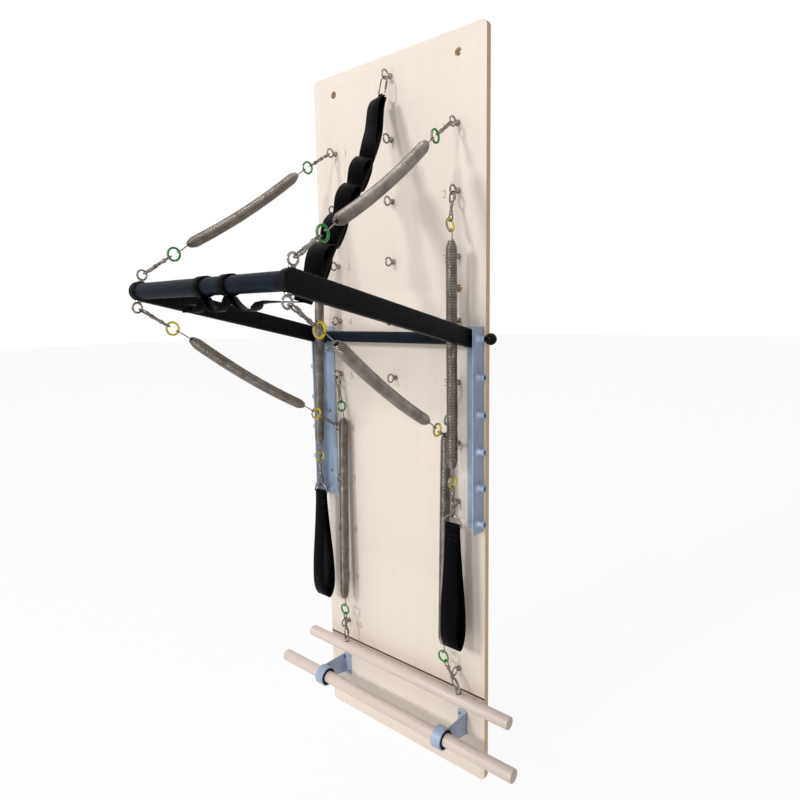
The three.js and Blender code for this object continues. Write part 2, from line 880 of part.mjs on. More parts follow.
// The chain of a foot strap: hook, ring and spring, ring and hook, D-ring, strap.
function addLegSpring(sideName, side, topX, bottomX) {
  const eyeAt = eyeCentre(side * columnX, 2);
  const lean = new THREE.Vector3(
    side * (topX - columnX) * legRingXShare,
    -(legRingStandOff - eyeStandOff),
    0,
  );
  const fall = Math.sqrt(hookSpan ** 2 - lean.lengthSq());
  const upperRing = eyeAt.clone().add(lean).addScaledVector(Z, -fall);
  const bodyFrom = new THREE.Vector3(
    side * topX,
    fromBoard(legStandOff),
    upperRing.z - springTail,
  );
  const tilt = new THREE.Vector3(side * (bottomX - topX), 0, -legSpringLength);
  const bodyTo = bodyFrom.clone().add(tilt.setLength(legSpringLength));
  const lowerRing = bodyTo.clone().addScaledVector(Z, -springTail);
  const bowTip = lowerRing.clone().addScaledVector(Z, -ringPull - hookLength);
  const dTop = bowTip.clone().addScaledVector(Z, dRingWire + hookWire + linkGap);
  const bar = dTop.clone().addScaledVector(Z, -dRingRadius);
  const along = upperRing.clone().sub(eyeAt).normalize();
  const upperTip = eyeAt.clone().addScaledVector(along, eyePull);
  addPart(`leg_${sideName}_upper_hook`, snapHook(upperTip, upperRing, X, false), zinc);
  addSpring(`leg_${sideName}_spring`, upperRing, along, lowerRing, bodyFrom, bodyTo);
  const link = snapHook(bowTip, lowerRing, X, true);
  addPart(`leg_${sideName}_lower_hook`, link, zinc);
  addPart(`leg_${sideName}_lower_ring`, colourRing(lowerRing, Z), ringPaints.yellow);
  addDRing(`leg_${sideName}_d_ring`, dTop);
  addFootStrap(`leg_${sideName}_foot_strap`, bar);
}

const rollEye = (side) =>
  place(
    rollBarDrift + (side * rollEyeSpan) / 2,
    rollBarStandOff,
    rollBarDrop - rollEyeHeight,
  );
const rollHookSpan =
  ringPull + linkGap + hookWire + hookLength + pullOffset(rollEyeRadius, rollEyeWire, eyeSteps);

// The chain of the roll-down bar on one side: hook, ring and spring, ring and hook.
function addRollSpring(sideName, side) {
  const eyeAt = eyeCentre(side * columnX, 5);
  const lean = new THREE.Vector3(
    side * (rollRingX - columnX),
    -(rollSpringStandOff - eyeStandOff),
    0,
  );
  const fall = Math.sqrt(hookSpan ** 2 - lean.lengthSq());
  const upperRing = eyeAt.clone().add(lean).addScaledVector(Z, -fall);
  const bodyFrom = new THREE.Vector3(side * rollSpringX, upperRing.y, upperRing.z - springTail);
  const barEye = rollEye(side);
  const lowerRing = new THREE.Vector3(side * rollSpringX, fromBoard(rollRingStandOff), barEye.z);
  lowerRing.z += Math.sqrt(rollHookSpan ** 2 - lowerRing.distanceToSquared(barEye));
  const bodyTo = lowerRing.clone().addScaledVector(Z, springTail);
  const along = upperRing.clone().sub(eyeAt).normalize();
  const upperTip = eyeAt.clone().addScaledVector(along, eyePull);
  const down = barEye.clone().sub(lowerRing).normalize();
  const bowTip = lowerRing.clone().addScaledVector(down, ringPull + linkGap + hookWire + hookLength);
  addPart(`roll_${sideName}_upper_hook`, snapHook(upperTip, upperRing, X, false), zinc);
  addSpring(`roll_${sideName}_spring`, upperRing, along, lowerRing, bodyFrom, bodyTo);
  const hook = snapHook(bowTip, lowerRing, X, true);
  addPart(`roll_${sideName}_lower_hook`, hook.add(colourRing(lowerRing, down)), zinc);
}

const dowelProfile = (radius, length) => [
  [0, -length / 2],
  [radius - dowelChamfer, -length / 2],
  [radius, -length / 2 + dowelChamfer],
  [radius, length / 2 - dowelChamfer],
  [radius - dowelChamfer, length / 2],
  [0, length / 2],
];

function addRollBar() {
  const centre = rollEye(0).addScaledVector(Z, -rollEyeHeight);
  let bar = turned(dowelProfile(rollBarRadius, rollBarLength), frameAlong(centre, X, Y), rollBarSides);
  for (const side of [-1, 1]) {
    const height = rollEyeHeight - rollBarRadius + dowelChamfer;
    const foot = rollEye(side).addScaledVector(Z, -height);
    bar = bar.add(eye(foot, Z, Y, height, rollEyeRadius, rollEyeWire, shankRadius, rollEyeWire));
    const nut = rod(
      rollEye(side).addScaledVector(Z, -rollEyeHeight),
      rollEye(side).addScaledVector(Z, -rollEyeHeight - rollBarRadius - dowelChamfer),
      shankRadius,
      shankSides,
    );
    bar = bar.add(nut);
  }
  addPart("roll_down_bar", bar, dowelWood);
}

const footBarCentre = (x) => place(x, footBarStandOff, footBarDrop);

function addFootBar() {
  const centre = footBarCentre(footBarDrift);
  const dowel = turned(dowelProfile(footBarRadius, footBarLength), frameAlong(centre, X, Y), footBarSides);
  addPart("foot_bar", dowel, dowelWood);
}

// A clamp bracket: a plate on the panel, a tapered gusset and a ring round the dowel.
function addClamp(name, side) {
  const centre = footBarCentre(side * clampX);
  const plateTop = fromTop(clampPlateDrop - clampPlateHeight / 2);
  const plateBottom = plateTop - clampPlateHeight;
  const front = fromBoard(seatGap);
  const plate = box(
    new THREE.Vector3(centre.x - clampPlateWidth / 2, front - clampPlateThick, plateBottom),
    new THREE.Vector3(centre.x + clampPlateWidth / 2, front, plateTop),
  );
  const gusset = new THREE.Shape([
    new THREE.Vector2(front - clampPlateThick / 2, plateTop - clampPlateThick),
    new THREE.Vector2(front - clampPlateThick / 2, plateBottom + clampPlateThick),
    new THREE.Vector2(centre.y + gussetInset, centre.z - gussetHalfHeight),
    new THREE.Vector2(centre.y + gussetInset, centre.z + gussetHalfHeight),
  ]);
  const web = new THREE.ExtrudeGeometry(gusset, {
    depth: clampGussetThick,
    bevelEnabled: false,
  });
  const frame = new THREE.Matrix4()
    .makeBasis(Y, Z, X)
    .setPosition(centre.x - clampGussetThick / 2, 0, 0);
  const ring = turned(
    [
      [0, -clampWidth / 2],
      [clampRadius, -clampWidth / 2],
      [clampRadius, clampWidth / 2],
      [0, clampWidth / 2],
    ],
    frameAlong(centre, X, Y),
    clampSides,
  );
  const reach = X.clone().multiplyScalar(clampWidth / 2 + cutOverrun);
  const bore = rod(
    centre.clone().sub(reach),
    centre.clone().add(reach),
    footBarRadius + seatGap,
    footBarSides,
  );
  const body = joined([plate, solid(web.applyMatrix4(frame)), ring]).subtract(bore);
  addPart(name, body, blueSteel);
}

// The looped webbing: a main run with loops sewn on both faces, a slack run under the handle
// and a wrap round the handle.
function addSafetyStrap() {
  const hang = new THREE.Vector3(0, -webLeanShare, -1).normalize();
  const hookEnd = addStrapHook(hang);
  const slack = webEyeRadius * Math.cos(Math.PI / loopSteps) - webThick / 2 - hookWire - webGap;
  const eyeMiddle = hookEnd.clone().addScaledVector(hang, slack);
  const end = place(webEnd.x, webEnd.standOff, webEnd.drop);
  const top = eyeMiddle.clone().addScaledVector(end.clone().sub(eyeMiddle).normalize(), webEyeRadius);
  const run = end.clone().sub(top);
  const along = run.clone().normalize();
  const bulge = X.clone().addScaledVector(along, -X.dot(along)).normalize();
  const across = new THREE.Vector3().crossVectors(along, bulge);
  const at = (share, out) =>
    top.clone().addScaledVector(run, share).addScaledVector(bulge, out);
  const bodies = [ribbon([at(0, 0), at(1, 0)], () => across, webWidth, webThick)];
  for (const [from, to, face] of loopShares) {
    const points = [];
    for (let i = 0; i <= loopBendSteps; i++) {
      const share = from + ((to - from) * i) / loopBendSteps;
      const lift = Math.sin((Math.PI * i) / loopBendSteps) ** loopFlatness;
      points.push(at(share, face * loopBulge * lift));
    }
    bodies.push(ribbon(points, () => across, webWidth, webThick));
  }
  const eyeRing = [];
  const outward = new THREE.Vector3().crossVectors(hang, X);
  for (let i = 0; i < loopSteps; i++) {
    const angle = (2 * Math.PI * (i + 0.5)) / loopSteps;
    eyeRing.push(
      eyeMiddle
        .clone()
        .addScaledVector(hang, webEyeRadius * Math.cos(angle))
        .addScaledVector(outward, webEyeRadius * Math.sin(angle)),
    );
  }
  bodies.push(ribbon(eyeRing, () => X, webEyeWidth, webThick, true));
  bodies.push(slackRun(end));
  for (const x of wrapXs) bodies.push(handleWrap(x));
  addPart("safety_strap", joined(bodies), webbing);
}

const wrapRadius = (handleRadius + webGap) / Math.cos(Math.PI / wrapSteps) + webThick / 2;

// One turn of webbing round the handle.
function handleWrap(x) {
  const handle = handleEnd(1);
  const points = [];
  for (let i = 0; i < wrapSteps; i++) {
    const angle = (2 * Math.PI * i) / wrapSteps;
    points.push(
      new THREE.Vector3(
        x,
        handle.y + wrapRadius * Math.sin(angle),
        handle.z - wrapRadius * Math.cos(angle),
      ),
    );
  }
  return ribbon(points, () => X, wrapWidth, webThick, true);
}

// The slack webbing hangs in swags below the handle, from the main run to each wrap in turn.
function slackRun(end) {
  const handle = handleEnd(1);
  const underside = handle.z - wrapRadius;
  const stops = [end.x, ...wrapXs, tailEndX];
  const points = [end.clone()];
  for (let s = 0; s + 1 < stops.length; s++) {
    const first = s === 0 ? 1 : 0;
    for (let i = first; i < swagSteps; i++) {
      const share = i / swagSteps;
      points.push(
        new THREE.Vector3(
          stops[s] + (stops[s + 1] - stops[s]) * share,
          handle.y,
          underside - Math.sin(Math.PI * share) * swagDrop,
        ),
      );
    }
  }
  points.push(new THREE.Vector3(tailEndX, handle.y, underside - swagDrop));
  return ribbon(points, () => Y, wrapWidth, webThick);
}

// A closed hook that hangs from the top centre eye; its far end carries the webbing.
function addStrapHook(hang) {
  const tip = eyeCentre(0, 0).addScaledVector(hang, eyePull);
  const loop = loopPoints(webHookHalfWidth, 0, webHookLength, loopSteps);
  const frame = frameAlong(tip, hang, X);
  const hook = wire(loop.map((p) => p.applyMatrix4(frame)), hookWire, ringSides, true);
  addPart("safety_strap_hook", hook, zinc);
  return tip.addScaledVector(hang, webHookLength);
}

addBoard();
addEyeBolts();
addBracket("left_bracket", -1);
addBracket("right_bracket", 1);
addPushBar();
for (const [sideName, side] of [["left", -1], ["right", 1]]) {
  addBarSpring("upper", sideName, side, 1, 1, "green");
  addBarSpring("lower", sideName, side, 6, -1, "yellow");
}
addLegSpring("left", -1, legLeftTopX, legLeftBottomX);
addLegSpring("right", 1, legRightTopX, legRightBottomX);
addRollSpring("left", -1);
addRollSpring("right", 1);
addRollBar();
addFootBar();
addClamp("foot_bar_clamp_left", -1);
addClamp("foot_bar_clamp_right", 1);
addSafetyStrap();

export default part;
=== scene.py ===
"""Looks of the pilates tower unit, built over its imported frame.

Sizes are in millimetres in the row frame: +X right as one faces the board, +Y into the wall,
+Z up, with the origin on the board's back face at the middle of its width and height.
"""

import logging
import math
from dataclasses import dataclass, field
from enum import Enum
from typing import Any, Callable, Iterable, Sequence

import bmesh
import bpy
from mathutils import Matrix, Vector

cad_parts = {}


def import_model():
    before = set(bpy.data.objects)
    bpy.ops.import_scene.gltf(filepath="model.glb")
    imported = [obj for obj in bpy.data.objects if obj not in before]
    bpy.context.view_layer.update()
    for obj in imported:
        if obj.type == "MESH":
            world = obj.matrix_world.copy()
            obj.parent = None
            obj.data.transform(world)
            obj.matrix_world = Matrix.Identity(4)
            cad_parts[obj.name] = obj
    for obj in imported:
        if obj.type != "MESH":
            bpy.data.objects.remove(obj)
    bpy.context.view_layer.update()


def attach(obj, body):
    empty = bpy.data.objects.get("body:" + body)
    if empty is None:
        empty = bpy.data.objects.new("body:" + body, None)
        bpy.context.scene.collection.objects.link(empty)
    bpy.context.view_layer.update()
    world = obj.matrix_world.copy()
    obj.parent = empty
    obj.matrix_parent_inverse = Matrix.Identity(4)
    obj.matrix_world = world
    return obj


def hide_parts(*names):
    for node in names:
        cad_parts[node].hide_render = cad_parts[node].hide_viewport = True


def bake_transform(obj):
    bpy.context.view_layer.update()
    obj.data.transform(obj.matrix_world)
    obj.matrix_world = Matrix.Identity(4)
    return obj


LOG = logging.getLogger("tower_unit")
MM = 0.001
X = Vector((1, 0, 0))
Y = Vector((0, 1, 0))
Z = Vector((0, 0, 1))
BOARD_THICK = 18.0
BOARD_HEIGHT = 2000.0
COLUMN_X = 220.0
# An eye bolt's ring: how far its middle stands off, its radius and its wire.
EYE_OFF = 22.0
EYE_RADIUS = 11.5
EYE_WIRE = 2.5
# The thin gap of paint and glue between the board and the steel on it.
STEEL_GAP = 0.3
SIDES = (("left", -1), ("right", 1))
# The Euler turn that faces a pattern's Z to the room.
FACING_ROOM = Vector((math.pi / 2, 0, 0))
WHITE = (1.0, 1.0, 1.0, 1.0)
# A wave texture's phase in radians is this many times its scale times the distance.
WAVE_UNITS = 20.0

Obj = bpy.types.Object
Socket = bpy.types.NodeSocket
Tree = bpy.types.NodeTree


class Slot(Enum):
    """The record's material slots."""

    BOARD = "board"
    PLY_EDGE = "ply_edge"
    SEAM = "seam"
    DOWEL = "dowel"
    BLUE_STEEL = "blue_steel"
    BLACK_PAINT = "black_paint"
    ZINC = "zinc"
    SPRING_STEEL = "spring_steel"
    KNOB = "knob"
    WEBBING = "webbing"
    RING_GREEN = "ring_green"
    RING_YELLOW = "ring_yellow"
    LINER = "liner"
    INK = "ink"


class Axis(Enum):
    """The direction that a grain runs in."""

    X = 0
    Y = 1
    Z = 2


def linear(hex_code: str) -> tuple[float, float, float, float]:
    """Turn an sRGB hex colour to linear RGBA.

    Args:
        hex_code: Six hex digits.

    Returns:
        The linear colour with an alpha of 1.
    """
    parts = [int(hex_code[i : i + 2], 16) / 255 for i in (0, 2, 4)]
    red, green, blue = (
        c / 12.92 if c <= 0.04045 else ((c + 0.055) / 1.055) ** 2.4 for c in parts
    )
    return red, green, blue, 1.0


def add_node(
    tree: Tree, kind: str, links: dict[str | int, Any] | None = None, **settings: Any
) -> bpy.types.Node:
    """Add a node with its settings and its sockets' links or values.

    Args:
        tree: The tree it joins.
        kind: The node's type name.
        links: For each input socket, the output socket to link or the value to set.
        settings: Properties of the node.

    Returns:
        The new node.
    """
    node = tree.nodes.new(kind)
    for key, value in settings.items():
        setattr(node, key, value)
    for key, source in (links or {}).items():
        if isinstance(source, Socket):
            tree.links.new(source, node.inputs[key])
        else:
            node.inputs[key].default_value = source
    return node


def maths(tree: Tree, operation: str, first: Any, second: Any, **settings: Any) -> Socket:
    """Add a Math node for two sockets or numbers and give its result."""
    links = {0: first, 1: second}
    return add_node(tree, "ShaderNodeMath", links, operation=operation, **settings).outputs["Value"]


def mixed(tree: Tree, share: float, first: Socket, second: Socket) -> Socket:
    """Mix two patterns by a share and give the result."""
    links = {"Factor": share, "A": first, "B": second}
    return add_node(tree, "ShaderNodeMix", links, data_type="FLOAT").outputs["Result"]


def noise(tree: Tree, place: Socket, scale: float, **values: float) -> Socket:
    """Add a noise texture and give its factor."""
    links = {"Vector": place, "Scale": scale, **values}
    return add_node(tree, "ShaderNodeTexNoise", links).outputs["Fac"]


def wave(tree: Tree, place: Socket, size_mm: float, axis: str, **values: float) -> Socket:
    """Add a wave texture whose bands are as wide as a size, and give its factor."""
    links = {"Vector": place, "Scale": math.tau / WAVE_UNITS / (size_mm * MM), **values}
    return add_node(tree, "ShaderNodeTexWave", links, bands_direction=axis).outputs["Fac"]


_MATERIALS: dict[str, bpy.types.Material] = {}
# How far a finish's roughness swings about its own value, as a share of it.
GLOSS_SWING = 0.12


@dataclass(frozen=True)
class Finish:
    """A surface finish: its colours, gloss and pattern."""

    name: str
    slot: Slot
    base: str
    shade: str
    roughness: float
    metallic: float = 0.0
    coat: float = 0.0
    specular: float = 0.5
    bump_mm: float = 0.05

    def material(self) -> bpy.types.Material:
        """Make the material once and give it again after that.

        Returns:
            The material.
        """
        if self.name not in _MATERIALS:
            made = bpy.data.materials.new(self.name)
            made.use_nodes = True
            tree = made.node_tree
            tree.nodes.clear()
            place = add_node(tree, "ShaderNodeTexCoord").outputs["Object"]
            tone, height = self.pattern(tree, place)
            ramp = add_node(tree, "ShaderNodeValToRGB", {"Fac": tone})
            stops = ((0.3, self.shade), (0.7, self.base))
            for element, (share, colour) in zip(ramp.color_ramp.elements, stops):
                element.position = share
                element.color = linear(colour)
            low = self.roughness * (1 - GLOSS_SWING)
            high = min(1.0, self.roughness * (1 + GLOSS_SWING))
            links = {"Value": height, "To Min": low, "To Max": high}
            gloss = add_node(tree, "ShaderNodeMapRange", links)
            links = {"Strength": 0.5, "Distance": self.bump_mm * MM, "Height": height}
            bump = add_node(tree, "ShaderNodeBump", links)
            links = {
                "Base Color": ramp.outputs["Color"],
                "Roughness": gloss.outputs["Result"],
                "Normal": bump.outputs["Normal"],
                "Metallic": self.metallic,
                "Coat Weight": self.coat,
                "Specular IOR Level": self.specular,
            }
            shader = add_node(tree, "ShaderNodeBsdfPrincipled", links)
            add_node(tree, "ShaderNodeOutputMaterial", {"Surface": shader.outputs["BSDF"]})
            _MATERIALS[self.name] = made
        return _MATERIALS[self.name]

    def pattern(self, tree: Tree, place: Socket) -> tuple[Socket, Socket]:
        """Lay out the pattern.

        Args:
            tree: The material's tree.
            place: The position on the object, in metres.

        Returns:
            The socket for the colour's share of base and the socket for the surface's height.
        """
        return noise(tree, place, 60.0), noise(tree, place, 900.0)


@dataclass(frozen=True)
class GrainedWood(Finish):
    """Wood with long fibres, short pores and broad slow figure."""

    grain: Axis = Axis.Z
    fibre_mm: float = 5.0
    length_mm: float = 220.0
    figure_mm: float = 70.0

    def pattern(self, tree: Tree, place: Socket) -> tuple[Socket, Socket]:
        """Stretch two noises along the grain: fine fibres over broad figure.

        Args:
            tree: The material's tree.
            place: The position on the object, in metres.

        Returns:
            The socket for the colour's share and the socket for the surface's height.
        """
        stretched = []
        for across, along, detail, distortion in (
            (self.fibre_mm, self.length_mm, 5.0, 0.3),
            (self.figure_mm, self.length_mm * 4, 3.0, 0.8),
        ):
            scale = [1 / (across * MM)] * 3
            scale[self.grain.value] = 1 / (along * MM)
            laid = add_node(tree, "ShaderNodeMapping", {"Vector": place, "Scale": scale})
            laid_on = laid.outputs["Vector"]
            stretched.append(noise(tree, laid_on, 1.0, Detail=detail, Distortion=distortion))
        thin, broad = stretched
        return mixed(tree, 0.45, thin, broad), thin


@dataclass(frozen=True)
class PlyEdge(Finish):
    """The sanded edge of plywood: thin veneers, light and dark by turns, through the thickness."""

    veneer_mm: float = 1.4

    def pattern(self, tree: Tree, place: Socket) -> tuple[Socket, Socket]:
        """Band the edge through the board's thickness and roughen it with end grain.

        Args:
            tree: The material's tree.
            place: The position on the object, in metres.

        Returns:
            The socket for the colour's share and the socket for the surface's height.
        """
        bands = wave(tree, place, 2 * self.veneer_mm, "Y", Distortion=0.6, Detail=2.0)
        grit = noise(tree, place, 260.0, Detail=4.0)
        return mixed(tree, 0.35, bands, grit), grit


@dataclass(frozen=True)
class Coated(Finish):
    """Powder coat or moulding: an even skin with a fine orange peel."""

    peel_mm: float = 1.2
    cloud_mm: float = 40.0

    def pattern(self, tree: Tree, place: Socket) -> tuple[Socket, Socket]:
        """Use slow clouds for the colour and the peel for the height."""
        cloud = noise(tree, place, 1 / (self.cloud_mm * MM), Detail=3.0)
        return cloud, noise(tree, place, 1 / (self.peel_mm * MM), Detail=1.0)


@dataclass(frozen=True)
class Metal(Finish):
    """Bare or plated metal with fine drawing marks and faint stains."""

    mark_mm: float = 0.5
    stain_mm: float = 12.0

    def pattern(self, tree: Tree, place: Socket) -> tuple[Socket, Socket]:
        """Use stains for the colour and fine marks for the height.

        Args:
            tree: The material's tree.
            place: The position on the object, in metres.

        Returns:
            The socket for the colour's share and the socket for the surface's height.
        """
        stain = noise(tree, place, 1 / (self.stain_mm * MM), Detail=5.0, Distortion=0.5)
        links = {"Vector": place, "Scale": 1 / (self.mark_mm * MM)}
        return stain, add_node(tree, "ShaderNodeTexVoronoi", links).outputs["Distance"]


@dataclass(frozen=True)
class Webbing(Finish):
    """Woven tape: ribs along its length crossed by the weft. It reads the piece's own UV map."""

    rib_mm: float = 2.4
    pick_mm: float = 1.8

    def pattern(self, tree: Tree, place: Socket) -> tuple[Socket, Socket]:
        """Cross two waves on the tape's own length and width, which are in metres.

        Args:
            tree: The material's tree.
            place: The position on the object, in metres.

        Returns:
            The socket for the colour's share and the socket for the surface's height.
        """
        woven = add_node(tree, "ShaderNodeUVMap", uv_map="weave").outputs["UV"]
        ribs = wave(tree, woven, self.rib_mm, "X", Distortion=0.4)
        picks = wave(tree, woven, self.pick_mm, "Y", Distortion=0.4)
        cloth = maths(tree, "MULTIPLY", ribs, picks)
        wear = noise(tree, place, 35.0, Detail=4.0)
        return mixed(tree, 0.5, cloth, wear), cloth


# Birch laminate, satin lacquered: pale and nearly even, with a faint upright grain.
LAMINATE = GrainedWood(
    "birch_laminate", Slot.BOARD, "eadfd4", "e4d7cb", 0.48, specular=0.25, bump_mm=0.02
)
# Birch plywood, sanded: the edge shows each veneer as a line.
PLY = PlyEdge("birch_ply_edge", Slot.PLY_EDGE, "fddfbd", "d4b28c", 0.62, specular=0.3, bump_mm=0.1)
# Walnut edging tape: a dark line across the board.
SEAM = GrainedWood("walnut_edging", Slot.SEAM, "58321d", "3c1f11", 0.5, grain=Axis.X, fibre_mm=1.5)
# Beech dowel, clear lacquered: pinkish, with short flecks along its length.
BEECH = GrainedWood(
    "beech_dowel", Slot.DOWEL, "e2d4cb", "d0bdb2", 0.42, coat=0.1, grain=Axis.X, fibre_mm=1.6,
    length_mm=60.0, figure_mm=22.0, bump_mm=0.05,
)
# Mild steel under metallic powder coat: blue-grey, with a soft shine and a fine peel.
BLUE_COAT = Coated(
    "blue_grey_powder_coat", Slot.BLUE_STEEL, "acbcd1", "9babc2", 0.38, 0.12, specular=0.3,
    bump_mm=0.06,
)
# Mild steel under matt black powder coat.
BLACK_COAT = Coated(
    "matt_black_powder_coat", Slot.BLACK_PAINT, "0c0b0c", "070607", 0.52, specular=0.09,
    bump_mm=0.06,
)
# The same black coat, a little smoother, with a painted cool sheen: its colour is tinted blue to
# stand in for light glancing off it.
SHEEN_PAINTED_COAT = Coated(
    "black_powder_coat_painted_sheen", Slot.BLACK_PAINT, "111a26", "0c121b", 0.4, specular=0.06,
    bump_mm=0.04,
)
# Steel with bright zinc plate: a mirror with brown-grey stains.
ZINC = Metal("bright_zinc_plate", Slot.ZINC, "b3aba3", "655e58", 0.22, 1.0, bump_mm=0.01)
# Cast steel under duller zinc, stained brown, with painted shade: its colour is set darker than the
# plate's to stand in for dark surroundings in its reflection.
HOOK_STEEL_PAINTED_DARK = Metal("zinc_casting_painted_dark_reflection", Slot.ZINC, "a0978f", "57504a", 0.27, 1.0, bump_mm=0.03)
# Patented spring wire: grey-brown, oiled, drawn through a die.
SPRING = Metal(
    "drawn_spring_steel", Slot.SPRING_STEEL, "9a928c", "746c65", 0.3, 1.0, bump_mm=0.0,
    stain_mm=30.0,
)
# PVC dip on steel: a thick, glossy, even skin.
GREEN_DIP = Coated(
    "green_pvc_dip", Slot.RING_GREEN, "06a33a", "058a31", 0.35, specular=0.3, bump_mm=0.1,
    peel_mm=3.0,
)
YELLOW_DIP = Coated(
    "yellow_pvc_dip", Slot.RING_YELLOW, "f6e208", "e3cc04", 0.35, specular=0.3, bump_mm=0.1,
    peel_mm=3.0,
)
# Phenolic ball: moulded and polished black.
PHENOLIC = Coated(
    "polished_phenolic", Slot.KNOB, "070708", "040405", 0.14, specular=0.12, bump_mm=0.02
)
# Moulded rubber: dull black.
RUBBER = Coated("moulded_rubber", Slot.LINER, "0b0b0c", "070708", 0.78, specular=0.1, bump_mm=0.12)
# Polyester tape, woven: black with a satin face, and the thread that it is sewn with.
TAPE = Webbing(
    "woven_polyester_tape", Slot.WEBBING, "0b0b0f", "040406", 0.4, specular=0.03, bump_mm=0.2
)
THREAD = Coated(
    "polyester_thread", Slot.WEBBING, "1c1c21", "121216", 0.6, specular=0.3, bump_mm=0.05
)
# Engraving, filled with pale brown wax.
INK = Coated(
    "engraved_fill", Slot.INK, "c4ae98", "b29b85", 0.7, specular=0.3, bump_mm=0.05, cloud_mm=6.0
)


def frame_along(origin: Vector, along: Vector, side: Vector) -> Matrix:
    """Make a frame whose Z runs along a direction.

    Args:
        origin: Where it stands, in millimetres.
        along: The direction of its Z.
        side: A direction near its X.

    Returns:
        The frame's matrix.
    """
    w = along.normalized()
    u = (side - w * side.dot(w)).normalized()
    frame = Matrix((u, w.cross(u), w)).transposed().to_4x4()
    frame.translation = origin
    return frame


def place(x: float, stand_off: float, drop: float) -> Vector:
    """Give a point by its distance in front of the board and its drop from the top edge."""
    return Vector((x, -(BOARD_THICK + stand_off), BOARD_HEIGHT / 2 - drop))


def linked(name: str, data: bpy.types.ID) -> Obj:
    """Make an object of some data and link it to the scene.

    Args:
        name: The object's name.
        data: Its mesh, curve, lamp or camera.

    Returns:
        The object.
    """
    obj = bpy.data.objects.new(name, data)
    bpy.context.collection.objects.link(obj)
    return obj


def evaluated_mesh(obj: Obj) -> bpy.types.Mesh:
    """Give an object's evaluated shape as a plain mesh.

    Args:
        obj: Any object that has a surface.

    Returns:
        The mesh, which no object holds yet.
    """
    graph = bpy.context.evaluated_depsgraph_get()
    graph.update()
    return bpy.data.meshes.new_from_object(obj.evaluated_get(graph), depsgraph=graph)


def in_metres(frame: Matrix) -> Matrix:
    """Give a frame with its place turned from millimetres to metres.

    Args:
        frame: A frame with its place in millimetres.

    Returns:
        The frame with its place in metres.
    """
    spot = frame.copy()
    spot.translation = frame.translation * MM
    return spot


def arc(radius: float, first_deg: float, turn_deg: float, steps: int) -> list[tuple[float, float]]:
    """Give points on a circle round the origin, from one angle through a turn."""
    angles = (math.radians(first_deg + turn_deg * i / steps) for i in range(steps + 1))
    return [(radius * math.cos(a), radius * math.sin(a)) for a in angles]


def rounded_outline(
    half: float, bottom: float, top: float, low: float, high: float, steps: int
) -> list[tuple[float, float]]:
    """Give the outline of a plate with rounded corners.

    Args:
        half: Half its width.
        bottom: Its lower edge.
        top: Its upper edge.
        low: The radius of its lower corners.
        high: The radius of its upper corners.
        steps: Steps round each corner.

    Returns:
        The outline's points, to the right first and then over the top.
    """
    points = []
    for quarter, (right, up) in enumerate(((1, 1), (-1, 1), (-1, -1), (1, -1))):
        radius = high if up > 0 else low
        x = right * (half - radius)
        y = top - radius if up > 0 else bottom + radius
        bend = arc(radius, 90 * quarter, 90, steps) if radius else [(0.0, 0.0)]
        points += [(x + u, y + v) for u, v in bend]
    return points


def mesh_object(
    name: str, points: Iterable[Vector], faces: Sequence[Sequence[int]], finish: Finish
) -> Obj:
    """Make a mesh object from points in millimetres.

    Args:
        name: The object's name.
        points: Its points in the row frame.
        faces: Indices of each face's points.
        finish: The finish of all its faces.

    Returns:
        The object, linked to the scene.
    """
    mesh = bpy.data.meshes.new(name)
    mesh.from_pydata([tuple(p * MM) for p in points], [], [tuple(f) for f in faces])
    mesh.materials.append(finish.material())
    return linked(name, mesh)


def tidy(obj: Obj, sharp_deg: float = 32.0) -> Obj:
    """Close seams, turn faces outwards and shade smoothly up to an angle.

    Args:
        obj: A mesh object.
        sharp_deg: Edges sharper than this stay crisp.

    Returns:
        The same object.
    """
    work = bmesh.new()
    work.from_mesh(obj.data)
    bmesh.ops.remove_doubles(work, verts=work.verts, dist=1e-6)
    bmesh.ops.recalc_face_normals(work, faces=work.faces)
    work.to_mesh(obj.data)
    work.free()
    obj.data.shade_smooth()
    obj.data.set_sharp_from_angle(angle=math.radians(sharp_deg))
    return obj


def joined(name: str, objects: Sequence[Obj]) -> Obj:
    """Join mesh objects into one.

    Args:
        name: The name of the result.
        objects: What is joined; the first one takes the rest.

    Returns:
        The joined object.
    """
    first = objects[0]
    if len(objects) > 1:
        with bpy.context.temp_override(
            active_object=first, object=first, selected_editable_objects=list(objects)
        ):
            bpy.ops.object.join()
    first.name = name
    first.data.name = name
    return first


def copied(obj: Obj, name: str, frame: Matrix) -> Obj:
    """Copy an object that was built in a local frame.

    Args:
        obj: The pattern, with its mesh in metres.
        name: The copy's name.
        frame: Where the copy stands, with its place in millimetres.

    Returns:
        The copy, whose place is in its mesh.
    """
    mesh = obj.data.copy()
    mesh.transform(in_metres(frame))
    return linked(name, mesh)


def dropped(obj: Obj) -> None:
    """Remove a pattern that isn't needed any more."""
    bpy.data.objects.remove(obj, do_unlink=True)


def stood_up(name: str, curve: bpy.types.Curve, spot: Vector, *finishes: Finish) -> Obj:
    """Turn a flat curve into a plain mesh that faces the room.

    Args:
        name: The object's name.
        curve: The curve or text, drawn in its XY plane in metres.
        spot: Where its origin stands, in millimetres.
        finishes: The mesh's finishes, in the order of their slots.

    Returns:
        The object.
    """
    drawn = linked(name + "_curve", curve)
    mesh = evaluated_mesh(drawn)
    dropped(drawn)
    mesh.transform(Matrix.Translation(spot * MM) @ Matrix.Rotation(math.pi / 2, 4, "X"))
    mesh.materials.clear()
    for finish in finishes:
        mesh.materials.append(finish.material())
    return linked(name, mesh)


